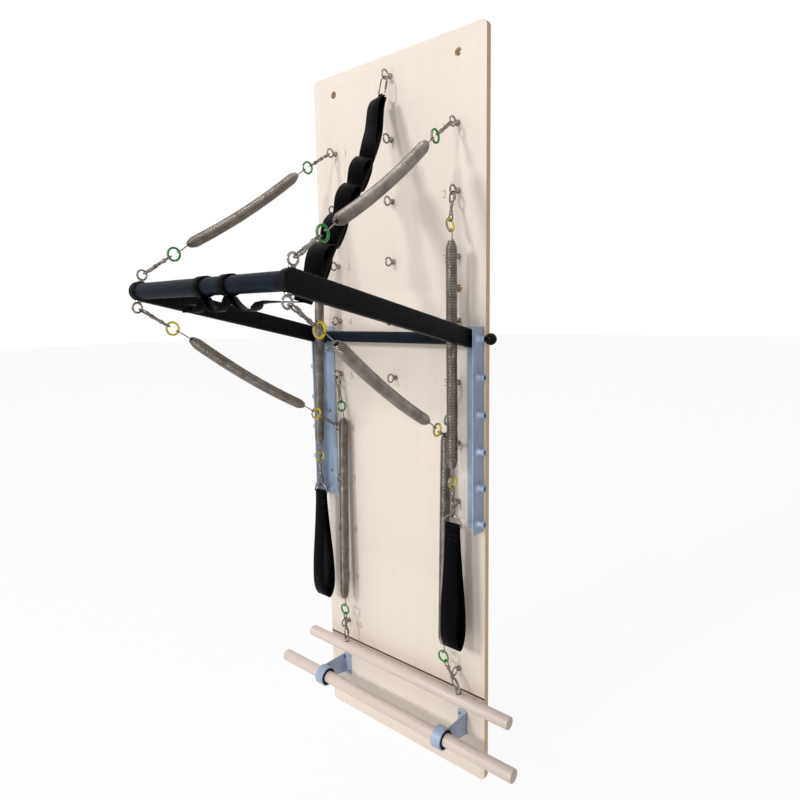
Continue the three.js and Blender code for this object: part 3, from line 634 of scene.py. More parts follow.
def lathe(
    name: str,
    profile: Sequence[tuple[float, float]],
    frame: Matrix,
    finish: Finish,
    sides: int = 32,
) -> Obj:
    """Turn a profile round a frame's Z.

    Args:
        name: The object's name.
        profile: Radius and height of each point; it closes on itself or on the axis.
        frame: The frame it stands in.
        finish: Its finish.
        sides: Steps round the axis.

    Returns:
        The turned object.
    """
    closed = profile[0] == profile[-1]
    rows = list(profile[:-1] if closed else profile)
    points: list[Vector] = []
    index: list[list[int]] = []
    for radius, height in rows:
        if radius < 1e-6:
            index.append([len(points)] * sides)
            points.append(frame @ Vector((0, 0, height)))
            continue
        index.append(list(range(len(points), len(points) + sides)))
        points += [frame @ Vector((x, y, height)) for x, y in arc(radius, 0, 360, sides)[:-1]]
    if closed:
        index.append(index[0])
    faces = []
    for a, b in zip(index, index[1:]):
        for k in range(sides):
            n = (k + 1) % sides
            corners = list(dict.fromkeys((a[k], a[n], b[n], b[k])))
            if len(corners) > 2:
                faces.append(corners)
    return tidy(mesh_object(name, points, faces, finish))


def prism(
    name: str,
    outline: Sequence[tuple[float, float]],
    depth: float,
    frame: Matrix,
    finish: Finish,
    bevel: float = 0.0,
) -> Obj:
    """Extrude an outline along a frame's Z and round its rims.

    Args:
        name: The object's name.
        outline: Points in the frame's XY plane.
        depth: How far it runs along Z.
        frame: The frame it stands in.
        finish: Its finish.
        bevel: The radius of its rims.

    Returns:
        The prism.
    """
    count = len(outline)
    points = [Vector((x, y, z)) for z in (0, depth) for x, y in outline]
    faces: list[list[int]] = [list(range(count))[::-1], list(range(count, 2 * count))]
    for i in range(count):
        j = (i + 1) % count
        faces.append([i, j, count + j, count + i])
    obj = mesh_object(name, points, faces, finish)
    if bevel:
        work = bmesh.new()
        work.from_mesh(obj.data)
        rims = [e for e in work.edges if abs(e.verts[0].co.z - e.verts[1].co.z) < 1e-7]
        bmesh.ops.bevel(
            work, geom=rims, offset=bevel * MM, segments=4, profile=0.5, affect="EDGES",
            clamp_overlap=True,
        )
        work.to_mesh(obj.data)
        work.free()
    obj.data.transform(in_metres(frame))
    return tidy(obj)


def new_tree(
    name: str, inputs: Sequence[tuple[str, str]]
) -> tuple[Tree, bpy.types.NodeOutputs]:
    """Start a Geometry Nodes tree.

    Args:
        name: The tree's name.
        inputs: Name and kind of each input after the geometry; the finish comes last.

    Returns:
        The tree and the sockets of its inputs.
    """
    tree = bpy.data.node_groups.new(name, "GeometryNodeTree")
    tree.interface.new_socket("Geometry", in_out="OUTPUT", socket_type="NodeSocketGeometry")
    for label, kind in (("Geometry", "Geometry"), *inputs, ("Finish", "Material")):
        tree.interface.new_socket(label, in_out="INPUT", socket_type=f"NodeSocket{kind}")
    return tree, add_node(tree, "NodeGroupInput").outputs


def swept(tree: Tree, curve: Socket, sides: Socket, radius: Socket) -> Socket:
    """Sweep a circle along a curve, close its ends and give the mesh.

    Args:
        tree: The tree.
        curve: The middle line.
        sides: Steps round the circle.
        radius: The circle's radius.

    Returns:
        The socket of the mesh.
    """
    links = {"Resolution": sides, "Radius": radius}
    section = add_node(tree, "GeometryNodeCurvePrimitiveCircle", links).outputs["Curve"]
    links = {"Curve": curve, "Profile Curve": section, "Fill Caps": True}
    return add_node(tree, "GeometryNodeCurveToMesh", links).outputs["Mesh"]


def repeated(tree: Tree, points: Socket, item: Socket, turn: Socket) -> Socket:
    """Stand an item on each point with a turn and give the instances."""
    links = {"Points": points, "Instance": item, "Rotation": turn}
    return add_node(tree, "GeometryNodeInstanceOnPoints", links).outputs["Instances"]


def end_tree(tree: Tree, given: bpy.types.NodeOutputs, shape: Socket) -> Tree:
    """Realize a tree's shape, give it its finish and end the tree.

    Args:
        tree: The tree.
        given: The sockets of its inputs.
        shape: The geometry that it has made.

    Returns:
        The tree.
    """
    real = add_node(tree, "GeometryNodeRealizeInstances", {"Geometry": shape})
    links = {"Geometry": real.outputs["Geometry"], "Material": given["Finish"]}
    dressed = add_node(tree, "GeometryNodeSetMaterial", links)
    add_node(tree, "NodeGroupOutput", {"Geometry": dressed.outputs["Geometry"]})
    return tree


def grown(obj: Obj, tree: Tree, values: dict[str, Any], sharp_deg: float = 32.0) -> Obj:
    """Run a tree on an object and keep the result as a plain mesh.

    Args:
        obj: What the tree works on.
        tree: A Geometry Nodes tree.
        values: Its inputs by name.
        sharp_deg: Edges sharper than this stay crisp.

    Returns:
        The same object with its new mesh.
    """
    modifier = obj.modifiers.new("grown", "NODES")
    modifier.node_group = tree
    for item in tree.interface.items_tree:
        if item.in_out == "INPUT" and item.name in values:
            modifier[item.identifier] = values[item.name]
    return settled(obj, sharp_deg)


def settled(obj: Obj, sharp_deg: float = 32.0) -> Obj:
    """Turn an object with its modifiers into a plain, tidy mesh.

    Args:
        obj: What holds the modifiers.
        sharp_deg: Edges sharper than this stay crisp.

    Returns:
        The same object.
    """
    mesh = evaluated_mesh(obj)
    obj.modifiers.clear()
    obj.data = mesh
    return tidy(obj, sharp_deg)


class Growers:
    """The Geometry Nodes trees for wires, coils, scattered parts and stitches."""

    def __init__(self) -> None:
        """Build each tree once."""
        self.wire_tree = self._wire_tree()
        self.coil_tree = self._coil_tree()
        self.scatter_tree = self._scatter_tree()
        self.stitch_tree = self._stitch_tree()

    def _wire_tree(self) -> Tree:
        """Make round wire along the edges of a mesh.

        Returns:
            The tree.
        """
        tree, given = new_tree("round_wire", (("Radius", "Float"), ("Sides", "Int")))
        line = add_node(tree, "GeometryNodeMeshToCurve", {"Mesh": given["Geometry"]})
        wire = swept(tree, line.outputs["Curve"], given["Sides"], given["Radius"])
        return end_tree(tree, given, wire)

    def _coil_tree(self) -> Tree:
        """Make a close-wound coil whose ends narrow.

        Returns:
            The tree.
        """
        floats = ("Length", "Turns", "Radius", "Wire", "Taper", "Neck Share")
        inputs = [(name, "Float") for name in floats] + [("Steps", "Int"), ("Sides", "Int")]
        tree, given = new_tree("close_wound_coil", inputs)
        links = {
            "Resolution": given["Steps"],
            "Rotations": given["Turns"],
            "Start Radius": given["Radius"],
            "End Radius": given["Radius"],
            "Height": given["Length"],
        }
        helix = add_node(tree, "GeometryNodeCurveSpiral", links).outputs["Curve"]
        spot = add_node(tree, "GeometryNodeInputPosition").outputs["Position"]
        height = add_node(tree, "ShaderNodeSeparateXYZ", {"Vector": spot}).outputs["Z"]
        near = maths(tree, "MINIMUM", height, maths(tree, "SUBTRACT", given["Length"], height))
        share = maths(tree, "DIVIDE", near, given["Taper"], use_clamp=True)
        # The power makes the end round like a dome, not straight like a cone.
        links = {"Value": maths(tree, "POWER", share, 0.6), "To Min": given["Neck Share"]}
        spread = add_node(tree, "ShaderNodeMapRange", links).outputs["Result"]
        factor = add_node(tree, "ShaderNodeCombineXYZ", {"X": spread, "Y": spread, "Z": 1.0})
        links = {0: spot, 1: factor.outputs["Vector"]}
        moved = add_node(tree, "ShaderNodeVectorMath", links, operation="MULTIPLY")
        links = {"Geometry": helix, "Position": moved.outputs["Vector"]}
        shaped = add_node(tree, "GeometryNodeSetPosition", links).outputs["Geometry"]
        return end_tree(tree, given, swept(tree, shaped, given["Sides"], given["Wire"]))

    def _scatter_tree(self) -> Tree:
        """Stand a pattern object on each point, turned as the point's attribute says.

        Returns:
            The tree.
        """
        tree, given = new_tree("scattered_parts", (("Pattern", "Object"),))
        links = {"Object": given["Pattern"], "As Instance": True}
        pattern = add_node(tree, "GeometryNodeObjectInfo", links).outputs["Geometry"]
        kind = "GeometryNodeInputNamedAttribute"
        turn = add_node(tree, kind, {"Name": "turn"}, data_type="FLOAT_VECTOR")
        spread = repeated(tree, given["Geometry"], pattern, turn.outputs["Attribute"])
        return end_tree(tree, given, spread)

    def _stitch_tree(self) -> Tree:
        """Lay a short thread along a path at every pitch.

        Returns:
            The tree.
        """
        inputs = [(name, "Float") for name in ("Pitch", "Stitch", "Thread")]
        tree, given = new_tree("stitches", inputs)
        line = add_node(tree, "GeometryNodeMeshToCurve", {"Mesh": given["Geometry"]})
        links = {"Curve": line.outputs["Curve"], "Length": given["Pitch"]}
        spaced = add_node(tree, "GeometryNodeCurveToPoints", links, mode="LENGTH").outputs
        links = {"Vertices": 6, "Radius": given["Thread"], "Depth": given["Stitch"]}
        bead = add_node(tree, "GeometryNodeMeshCylinder", links).outputs["Mesh"]
        return end_tree(tree, given, repeated(tree, spaced["Points"], bead, spaced["Rotation"]))

    def wire(
        self, name: str, points: Sequence[Vector], radius: float, finish: Finish,
        closed: bool = False, sides: int = 12,
    ) -> Obj:
        """Sweep round wire along points.

        Args:
            name: The object's name.
            points: Its centre line, in millimetres.
            radius: The wire's radius.
            finish: Its finish.
            closed: Whether its ends meet.
            sides: Steps round the wire.

        Returns:
            The wire.
        """
        obj = path_object(name, points, closed)
        values = {"Radius": radius * MM, "Sides": sides, "Finish": finish.material()}
        return grown(obj, self.wire_tree, values, 60.0)

    def strew(
        self, name: str, pattern: Obj, spots: Sequence[tuple[Vector, Vector]], *nodes: str
    ) -> None:
        """Stand zinc copies of a pattern on the root body and drop the pattern.

        Args:
            name: The object's name.
            pattern: What is repeated.
            spots: For each copy its place in millimetres and its Euler turn.
            nodes: CAD nodes that the copies replace.
        """
        obj = path_object(name, [spot for spot, _ in spots], False, edges=False)
        turn = obj.data.attributes.new("turn", "FLOAT_VECTOR", "POINT")
        for item, (_, euler) in zip(turn.data, spots):
            item.vector = euler
        values = {"Pattern": pattern, "Finish": ZINC.material()}
        dress(grown(obj, self.scatter_tree, values), "root", Slot.ZINC, *nodes)
        dropped(pattern)

    def stitches(self, name: str, points: Sequence[Vector]) -> Obj:
        """Sew a row of stitches along points.

        Args:
            name: The object's name.
            points: The row's path, in millimetres.

        Returns:
            The threads as one mesh.
        """
        sizes = {"Pitch": 5.0 * MM, "Stitch": 3.4 * MM, "Thread": 0.45 * MM}
        values = {**sizes, "Finish": THREAD.material()}
        return grown(path_object(name, points, False), self.stitch_tree, values)


def path_object(name: str, points: Sequence[Vector], closed: bool, edges: bool = True) -> Obj:
    """Make an object of points, joined in a line or left loose.

    Args:
        name: The object's name.
        points: Places in millimetres.
        closed: Whether the last point is joined to the first.
        edges: Whether the points are joined at all.

    Returns:
        The object.
    """
    count = len(points)
    pairs = [(i, (i + 1) % count) for i in range(count if closed else count - 1)] if edges else []
    mesh = bpy.data.meshes.new(name)
    mesh.from_pydata([tuple(p * MM) for p in points], pairs, [])
    return linked(name, mesh)


def ribbon(
    name: str,
    points: Sequence[Vector],
    across: Callable[[int], Vector],
    widths: Callable[[int], float],
    thick: float,
    closed: bool = False,
) -> Obj:
    """Lay woven tape along points, with soft selvedges and a map of its length and width.

    Args:
        name: The object's name.
        points: The tape's middle line, in millimetres.
        across: The direction of its width at each point.
        widths: Its width at each point.
        thick: Its thickness.
        closed: Whether it is a loop.

    Returns:
        The tape.
    """
    count = len(points)
    section = [(0.5, 0.15), (0.47, 0.5), (-0.47, 0.5), (-0.5, 0.15)]
    section += [(-0.5, -0.15), (-0.47, -0.5), (0.47, -0.5), (0.5, -0.15)]
    sides = len(section)
    corners: list[Vector] = []
    travelled = [0.0]
    for i, point in enumerate(points):
        before = points[(i - 1) % count] if closed else points[max(i - 1, 0)]
        after = points[(i + 1) % count] if closed else points[min(i + 1, count - 1)]
        frame = frame_along(point, after - before, across(i))
        travelled.append(travelled[-1] + (points[(i + 1) % count] - point).length)
        for a, b in section:
            corners.append(frame @ Vector((a * widths(i), b * thick, 0)))
    faces: list[list[int]] = []
    marks: list[list[tuple[float, float]]] = []
    for i in range(count if closed else count - 1):
        j = (i + 1) % count
        for k in range(sides):
            n = (k + 1) % sides
            faces.append([i * sides + k, i * sides + n, j * sides + n, j * sides + k])
            u0, u1 = section[k][0] * widths(i), section[n][0] * widths(i)
            v0, v1 = travelled[i], travelled[i + 1]
            marks.append([(u0, v0), (u1, v0), (u1, v1), (u0, v1)])
    if not closed:
        for start in (0, (count - 1) * sides):
            faces.append([start + k for k in range(sides)])
            marks.append([(section[k][0] * thick, section[k][1] * thick) for k in range(sides)])
    obj = mesh_object(name, corners, faces, TAPE)
    layer = obj.data.uv_layers.new(name="weave")
    for polygon, spots in zip(obj.data.polygons, marks):
        for loop, (u, v) in zip(polygon.loop_indices, spots):
            layer.data[loop].uv = (u * MM, v * MM)
    return tidy(obj, 60.0)


def path_length(points: Sequence[Vector], closed: bool = False) -> float:
    """Give the length of a path in millimetres."""
    ends = list(points[1:]) + ([points[0]] if closed else [])
    return sum((b - a).length for a, b in zip(points, ends))


def smooth_loop(points: Sequence[Vector], steps: int, closed: bool = True) -> list[Vector]:
    """Round a path with Catmull-Rom curves.

    Args:
        points: Points that it passes through.
        steps: Steps between each two points.
        closed: Whether it is a loop.

    Returns:
        The finer path.
    """
    count = len(points)
    fine: list[Vector] = []
    for i in range(count if closed else count - 1):
        around = (i - 1, i, i + 1, i + 2)
        picks = [k % count if closed else min(max(k, 0), count - 1) for k in around]
        a, b, c, d = (points[k] for k in picks)
        for s in range(steps):
            t = s / steps
            point = 2 * b + (c - a) * t + (2 * a - 5 * b + 4 * c - d) * t**2
            fine.append((point + (3 * b - a - 3 * c + d) * t**3) / 2)
    if not closed:
        fine.append(points[-1].copy())
    return fine


def ring_points(
    centre: Vector, radius: float, along: Vector, side: Vector, steps: int = 40
) -> list[Vector]:
    """Give the middle line of a ring whose plane holds along and is square to side."""
    frame = frame_along(centre, along, side)
    return [frame @ Vector((0, v, w)) for w, v in arc(radius, 0, 360, steps)[:-1]]


def stadium(half_width: float, start: float, end: float, steps: int = 12) -> list[Vector]:
    """Give a loop with two round ends and straight sides, in the XZ plane.

    Args:
        half_width: Half its width, and the radius of its ends.
        start: Its lowest Z.
        end: Its highest Z.
        steps: Steps round each end.

    Returns:
        The loop's points.
    """
    points = []
    for middle, first in ((end - half_width, 0), (start + half_width, 180)):
        points += [Vector((x, 0, middle + z)) for x, z in arc(half_width, first, 180, steps)]
    return points


def dress(obj: Obj, body: str, slot: Slot, *nodes: str) -> Obj:
    """Hang a finished piece on its body and hide the CAD nodes it stands for.

    Args:
        obj: The piece.
        body: The body that it rides on.
        slot: Its material slot. Not used.
        nodes: CAD nodes that it replaces.

    Returns:
        The piece.
    """
    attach(obj, body)
    if nodes:
        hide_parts(*nodes)
    LOG.info("%s on %s: %d faces", obj.name, body, len(obj.data.polygons))
    return obj


@dataclass
class Board:
    """The laminated board in two panels, with its holes, screws, numerals and eye bolts."""

    grow: Growers
    width: float = 610.0
    seam_height: float = 250.0
    corner: float = 15.0
    edge_radius: float = 1.2
    hole_x: float = 222.0
    hole_drops: tuple[float, ...] = (54.0, 627.0, 1442.0, 1950.0)
    hole_radius: float = 10.4
    first_row: float = 220.0
    row_pitch: float = 163.0
    used_rows: tuple[int, ...] = (1, 2, 5, 6)
    numeral_size: float = 29.7
    numeral_inset: float = 42.0
    numeral_sink: float = 4.0
    numeral_depth: float = 0.12
    seam_half: float = 2.8
    seam_depth: float = 3.0
    seam_proud: float = 0.4
    screw_sink: float = 6.0

    def row_drop(self, row: int) -> float:
        """Give the drop of a row of eye bolts."""
        return self.first_row + self.row_pitch * (row - 1)

    def panel(
        self, name: str, outline: list[tuple[float, float]], holes: Sequence[tuple[float, float]]
    ) -> Obj:
        """Cut a panel with rounded edges and round holes.

        Args:
            name: The panel's name.
            outline: Its outline in the XY plane.
            holes: The place of each hole.

        Returns:
            The panel, with laminate on its faces and ply on its edges.
        """
        curve = bpy.data.curves.new(name, "CURVE")
        curve.dimensions = "2D"
        curve.fill_mode = "BOTH"
        curve.extrude = (BOARD_THICK / 2 - self.edge_radius) * MM
        curve.bevel_depth = self.edge_radius * MM
        curve.bevel_resolution = 2
        curve.offset = -self.edge_radius * MM
        rim = arc(self.hole_radius, 0, 360, 32)[:-1]
        for loop in (outline, *([(x + u, z + v) for u, v in rim] for x, z in holes)):
            line = curve.splines.new("POLY")
            line.points.add(len(loop) - 1)
            for point, (x, z) in zip(line.points, loop):
                point.co = (x * MM, z * MM, 0, 1)
            line.use_cyclic_u = True
        middle = Vector((0, -BOARD_THICK / 2, 0))
        obj = tidy(stood_up(name, curve, middle, LAMINATE, PLY), 50.0)
        for polygon in obj.data.polygons:
            polygon.material_index = 0 if abs(polygon.normal.y) > 0.98 else 1
        return obj

    def counterbore(self, name: str, x: float, drop: float) -> Obj:
        """Line a screw hole: a wide mouth over a narrow bore.

        Args:
            name: The object's name.
            x: The hole's distance from the board's middle.
            drop: Its drop from the top edge.

        Returns:
            The hole's lining.
        """
        profile = [(10.0, 0.4), (10.0, 6.0), (4.5, 6.0), (4.5, 17.6), (10.5, 17.6), (10.5, 0.4)]
        profile.append(profile[0])
        return lathe(name, profile, frame_along(place(x, 0, drop), Y, X), PLY)

    def wall_screw(self) -> Obj:
        """Make a washer-head screw whose driver recess faces the room, along local Z.

        Returns:
            The screw.
        """
        profile = [(0, -8), (3, -8), (3, 0), (8.2, 0), (8.4, 0.8), (7.6, 1.4), (5.4, 1.6)]
        profile += [(5.0, 3.2), (4.2, 4.0), (2.6, 4.1), (2.4, 3.8), (2.3, 1.8), (0, 1.6)]
        return lathe("wall_screw", profile, Matrix.Identity(4), ZINC, 24)

    def numerals(self) -> Obj:
        """Cut the plain row numbers beside the side columns.

        Returns:
            All the numerals as one mesh.
        """
        made = []
        for _, side in SIDES:
            for row in range(1, 11):
                text = bpy.data.curves.new("numeral", "FONT")
                text.body = str(row)
                text.size = self.numeral_size * MM
                text.align_x = text.align_y = "CENTER"
                text.extrude = self.numeral_depth * MM
                drop = self.row_drop(row) + self.numeral_sink
                spot = place(side * (COLUMN_X - self.numeral_inset), 0.02, drop)
                made.append(stood_up("numeral", text, spot, INK))
        return tidy(joined("row_numerals", made))

    def eye_pattern(self) -> Obj:
        """Make one eye bolt that stands on the origin and points to the room.

        Returns:
            The eye bolt.
        """
        stem = [(0, -0.5), (7.5, -0.5), (7.6, 1.0), (7.4, 4.2), (6.4, 6.6), (4.6, 8.2)]
        stem += [(3.4, 9.2), (3.0, 11), (0, 11)]
        base = lathe("eye", stem, frame_along(Vector(), -Y, X), ZINC, 24)
        line = ring_points(-Y * EYE_OFF, EYE_RADIUS, -Y, X)
        ring = self.grow.wire("eye_ring", line, EYE_WIRE, ZINC, True)
        return joined("eye_pattern", [base, ring])

    def build(self) -> None:
        """Make the board's pieces and hang them on the root body."""
        top, half = BOARD_HEIGHT / 2, self.width / 2
        seam = self.seam_height - top
        spots = [(side * self.hole_x, drop) for _, side in SIDES for drop in self.hole_drops]
        for name, bottom, upper, low, high in (
            ("upper", seam, top, 0, self.corner),
            ("lower", -top, seam, self.corner, 0),
        ):
            outline = rounded_outline(half, bottom, upper, low, high, 8)
            holes = [(x, top - drop) for x, drop in spots if bottom < top - drop < upper]
            panel = self.panel(f"board_{name}", outline, holes)
            dress(panel, "root", Slot.BOARD, f"{name}_panel")
        bores = [self.counterbore("bore", x, drop) for x, drop in spots]
        dress(joined("wall_screw_bores", bores), "root", Slot.PLY_EDGE)
        screws = [(place(x, -self.screw_sink, drop), FACING_ROOM) for x, drop in spots]
        self.grow.strew("wall_screws", self.wall_screw(), screws)
        end, rise = half - 0.5, self.seam_half
        outline = [(-end, -rise), (end, -rise), (end, rise), (-end, rise)]
        sunk = Vector((0, self.seam_depth - self.seam_proud - BOARD_THICK, seam))
        frame = frame_along(sunk, -Y, X)
        strip = prism("seam_strip", outline, self.seam_depth, frame, SEAM, 0.4)
        dress(strip, "root", Slot.SEAM)
        dress(self.numerals(), "root", Slot.INK)
        eyes = [(side * COLUMN_X, row) for _, side in SIDES for row in range(1, 11)]
        eyes += [(0, row) for row in range(6)]
        places = [(place(x, 0, self.row_drop(row)), Vector()) for x, row in eyes]
        nodes = [f"eye_bolt_{name}_{row}" for name, _ in SIDES for row in self.used_rows]
        self.grow.strew("board_eye_bolts", self.eye_pattern(), places, *nodes)


@dataclass
class Brackets:
    """The two side angles with their sockets and flange screws."""

    grow: Growers
    drop: float = 725.0
    length: float = 540.0
    leg: float = 50.0
    wall: float = 3.0
    outer_x: float = 300.0
    pivot_off: float = 29.0
    socket_drop: float = 30.0
    socket_pitch: float = 96.0
    bore: float = 5.3
    bend: float = 3.0
    screw_x: float = 275.0
    screw_heights: tuple[float, ...] = (200.0, 7.0, -187.0)
    profile: tuple[tuple[float, float], ...] = (
        (5.3, 0), (13.5, 0), (12.6, 1.2), (11.4, 2.4), (9.4, 5), (8.3, 8.4), (8.0, 12),
        (8.4, 15.5), (9.2, 18), (9.4, 21), (8.9, 22), (6.2, 22), (5.3, 21.2), (5.3, 0),
    )

    def sockets(self, x: float) -> list[Vector]:
        """Give the middle of each socket at a distance from the board's middle."""
        drops = (self.drop + self.socket_drop + self.socket_pitch * i for i in range(6))
        return [place(x, self.pivot_off, drop) for drop in drops]

    def angle(self, name: str, side: int) -> Obj:
        """Bend the angle and drill its web.

        Args:
            name: The object's name.
            side: Its side of the board, -1 or 1.

        Returns:
            The angle.
        """
        back = -BOARD_THICK - STEEL_GAP
        outer, inner = side * self.outer_x, side * (self.outer_x - self.leg)
        web, face = side * (self.outer_x - self.wall), back - self.wall
        bend, part = self.bend, self.bend * 0.3
        outline = [(inner, back), (inner, face), (web - side * bend, face)]
        outline += [(web - side * part, face - part), (web, face - bend), (web, back - self.leg)]
        outline += [(outer, back - self.leg), (outer, back - bend)]
        outline += [(outer - side * part, back - part), (outer - side * bend, back)]
        frame = Matrix.Translation((0, 0, BOARD_HEIGHT / 2 - self.drop - self.length))
        obj = prism(name, outline, self.length, frame, BLUE_COAT, 0.6)
        rod = [(0, 0), (self.bore, 0), (self.bore, 16), (0, 16)]
        pins = []
        for spot in self.sockets(web):
            through = frame_along(spot - X * side * 6, X * side, Y)
            pins.append(lathe("bore", rod, through, BLUE_COAT, 24))
        cut = obj.modifiers.new("cut", "BOOLEAN")
        cut.object = joined("cutter", pins)
        cut.solver = "EXACT"
        settled(obj)
        dropped(pins[0])
        return obj

    def build(self) -> None:
        """Make both brackets and their screws."""
        for name, side in SIDES:
            pieces = [self.angle(f"{name}_angle", side)]
            for spot in self.sockets(side * self.outer_x):
                seat = frame_along(spot, X * side, Y)
                pieces.append(lathe("socket", self.profile, seat, BLUE_COAT, 28))
            bracket = joined(f"{name}_angle_bracket", pieces)
            dress(bracket, "root", Slot.BLUE_STEEL, f"{name}_bracket")
        head = [(0, -1), (5.6, -1), (5.8, 0.4), (5.2, 1.8), (3.8, 2.8), (2.2, 3.1), (2.0, 1.2)]
        pattern = lathe("flange_screw", [*head, (0, 1.0)], Matrix.Identity(4), ZINC, 20)
        face = -BOARD_THICK - STEEL_GAP - self.wall
        spots = [
            (Vector((side * self.screw_x, face, height)), FACING_ROOM)
            for _, side in SIDES
            for height in self.screw_heights
        ]
        self.grow.strew("flange_screws", pattern, spots)


@dataclass
class PushBar:
    """The push-through bar: arms, handle, cross tube, eye bolts and pull pins."""

    grow: Growers
    centre_x: float = 277.0
    reach: float = 588.0
    tilt_deg: float = 12.6
    height: float = 46.0
    thick: float = 25.0
    handle_radius: float = 19.0
    cross_radius: float = 16.0
    eye_off: float = 16.5
    pivot_off: float = 29.0
    pivot_drop: float = 755.0
    socket_end_x: float = 322.0
    ball_radius: float = 15.0

    def pivot(self, side: float) -> Vector:
        """Give the middle of an arm's pivot."""
        return place(side * self.centre_x, self.pivot_off, self.pivot_drop)

    @property
    def along(self) -> Vector:
        """Give the direction of the arms to the front."""
        tilt = math.radians(self.tilt_deg)
        return Vector((0, -math.cos(tilt), math.sin(tilt)))

    @property
    def up(self) -> Vector:
        """Give the direction square to the arms, upwards."""
        tilt = math.radians(self.tilt_deg)
        return Vector((0, math.sin(tilt), math.cos(tilt)))

    def front(self, side: float) -> Vector:
        """Give the middle of an arm's front end."""
        return self.pivot(side) + self.along * self.reach

    def eye_centre(self, side: float, up: float) -> Vector:
        """Give the middle of an eye above or below the front end."""
        return self.front(side) + self.up * up * (self.height / 2 + self.eye_off)

    def arm(self, name: str, side: int) -> Obj:
        """Press one flat oval arm with soft edges.

        Args:
            name: The object's name.
            side: Its side of the board, -1 or 1.

        Returns:
            The arm.
        """
        outline = []
        for centre, first in ((0.0, 90), (self.reach, -90)):
            outline += [(centre + u, v) for u, v in arc(self.height / 2, first, 180, 16)]
        across = self.along.cross(self.up)
        frame = Matrix((self.along, self.up, across)).transposed().to_4x4()
        frame.translation = self.pivot(side) - across * self.thick / 2
        return prism(name, outline, self.thick, frame, BLACK_COAT, 6.0)

    def tube(self, name: str, centre: Vector, radius: float) -> Obj:
        """Run a tube between the arms, with a weld bead at each end.

        Args:
            name: The object's name.
            centre: A point whose Y and Z the tube's axis runs through.
            radius: Its outer radius.

        Returns:
            The tube.
        """
        half = self.centre_x - self.thick / 2 - 0.3
        inner = radius - 2
        bead = [(radius + 1.6, half), (radius + 1.8, half - 1.2), (radius + 0.6, half - 2.6)]
        smooth = half - 3.4
        profile = [(inner, -half), *((r, -x) for r, x in bead)]
        profile += [(radius, -smooth + 2 * smooth * i / 10) for i in range(11)]
        profile += [*bead[::-1], (inner, half), (inner, -half)]
        spot = Vector((0, centre.y, centre.z))
        # Both tubes take the black coat whose colour carries a painted cool sheen.
        return lathe(name, profile, frame_along(spot, X, Y), SHEEN_PAINTED_COAT, 48)

    def eye_bolt(self, name: str, side: int) -> Obj:
        """Fit one bolt with an eye on each side of the arm.

        Args:
            name: The object's name.
            side: Its side of the board, -1 or 1.

        Returns:
            The bolt with both its eyes.
        """
        pieces = []
        for up in (1, -1):
            out = self.up * up
            foot = self.front(side) + out * (self.height / 2 + 0.1)
            stem = [(0, 0), (7.6, 0), (7.6, 2.6), (6.2, 3.6), (4.2, 4.6), (3.2, 6.0), (0, 6.0)]
            pieces.append(lathe("collar", stem, frame_along(foot, out, X), ZINC, 24))
            ring = ring_points(self.eye_centre(side, up), EYE_RADIUS, out, X)
            pieces.append(self.grow.wire("ring", ring, EYE_WIRE, ZINC, True))
        return joined(name, pieces)

    def pin(self, name: str, side: int) -> Obj:
        """Turn a pull pin with a polished ball.

        Args:
            name: The object's name.
            side: Its side of the board, -1 or 1.

        Returns:
            The pin.
        """
        tip = self.pivot(side) + X * side * (-self.thick / 2 + 3)
        length = abs(side * self.socket_end_x - tip.x) + 0.3
        profile = [(0, 0), (4.4, 0), (5, 0.8), (5, length), (7.4, length)]
        profile += [(7.8, length + 1.2), (7.6, length + 3)]
        ball, middle = self.ball_radius, length + self.ball_radius + 0.3
        for i in range(1, 20):
            angle = math.pi * (0.18 + 0.82 * i / 19)
            profile.append((max(ball * math.sin(angle), 0.0), middle - ball * math.cos(angle)))
        profile[-1] = (0, middle + ball)
        return lathe(name, profile, frame_along(tip, X * side, Y), PHENOLIC, 36)

    def build(self) -> None:
        """Make the bar's pieces."""
        for name, side in SIDES:
            arm = self.arm(f"{name}_bar_arm", side)
            dress(arm, "push_bar", Slot.BLACK_PAINT, f"push_bar_{name}_arm")
            bolt = self.eye_bolt(f"{name}_bar_eyes", side)
            dress(bolt, "push_bar", Slot.ZINC, f"bar_eye_bolt_{name}")
            pin = self.pin(f"{name}_pull_pin", side)
            dress(pin, f"pin_{name}", Slot.KNOB, f"pivot_pin_{name}")
        for name, centre, radius, node in (
            ("bar_handle_tube", self.front(1), self.handle_radius, "push_bar_handle"),
            ("bar_cross_tube", self.pivot(1), self.cross_radius, "push_bar_cross_tube"),
        ):
            dress(self.tube(name, centre, radius), "push_bar", Slot.BLACK_PAINT, node)


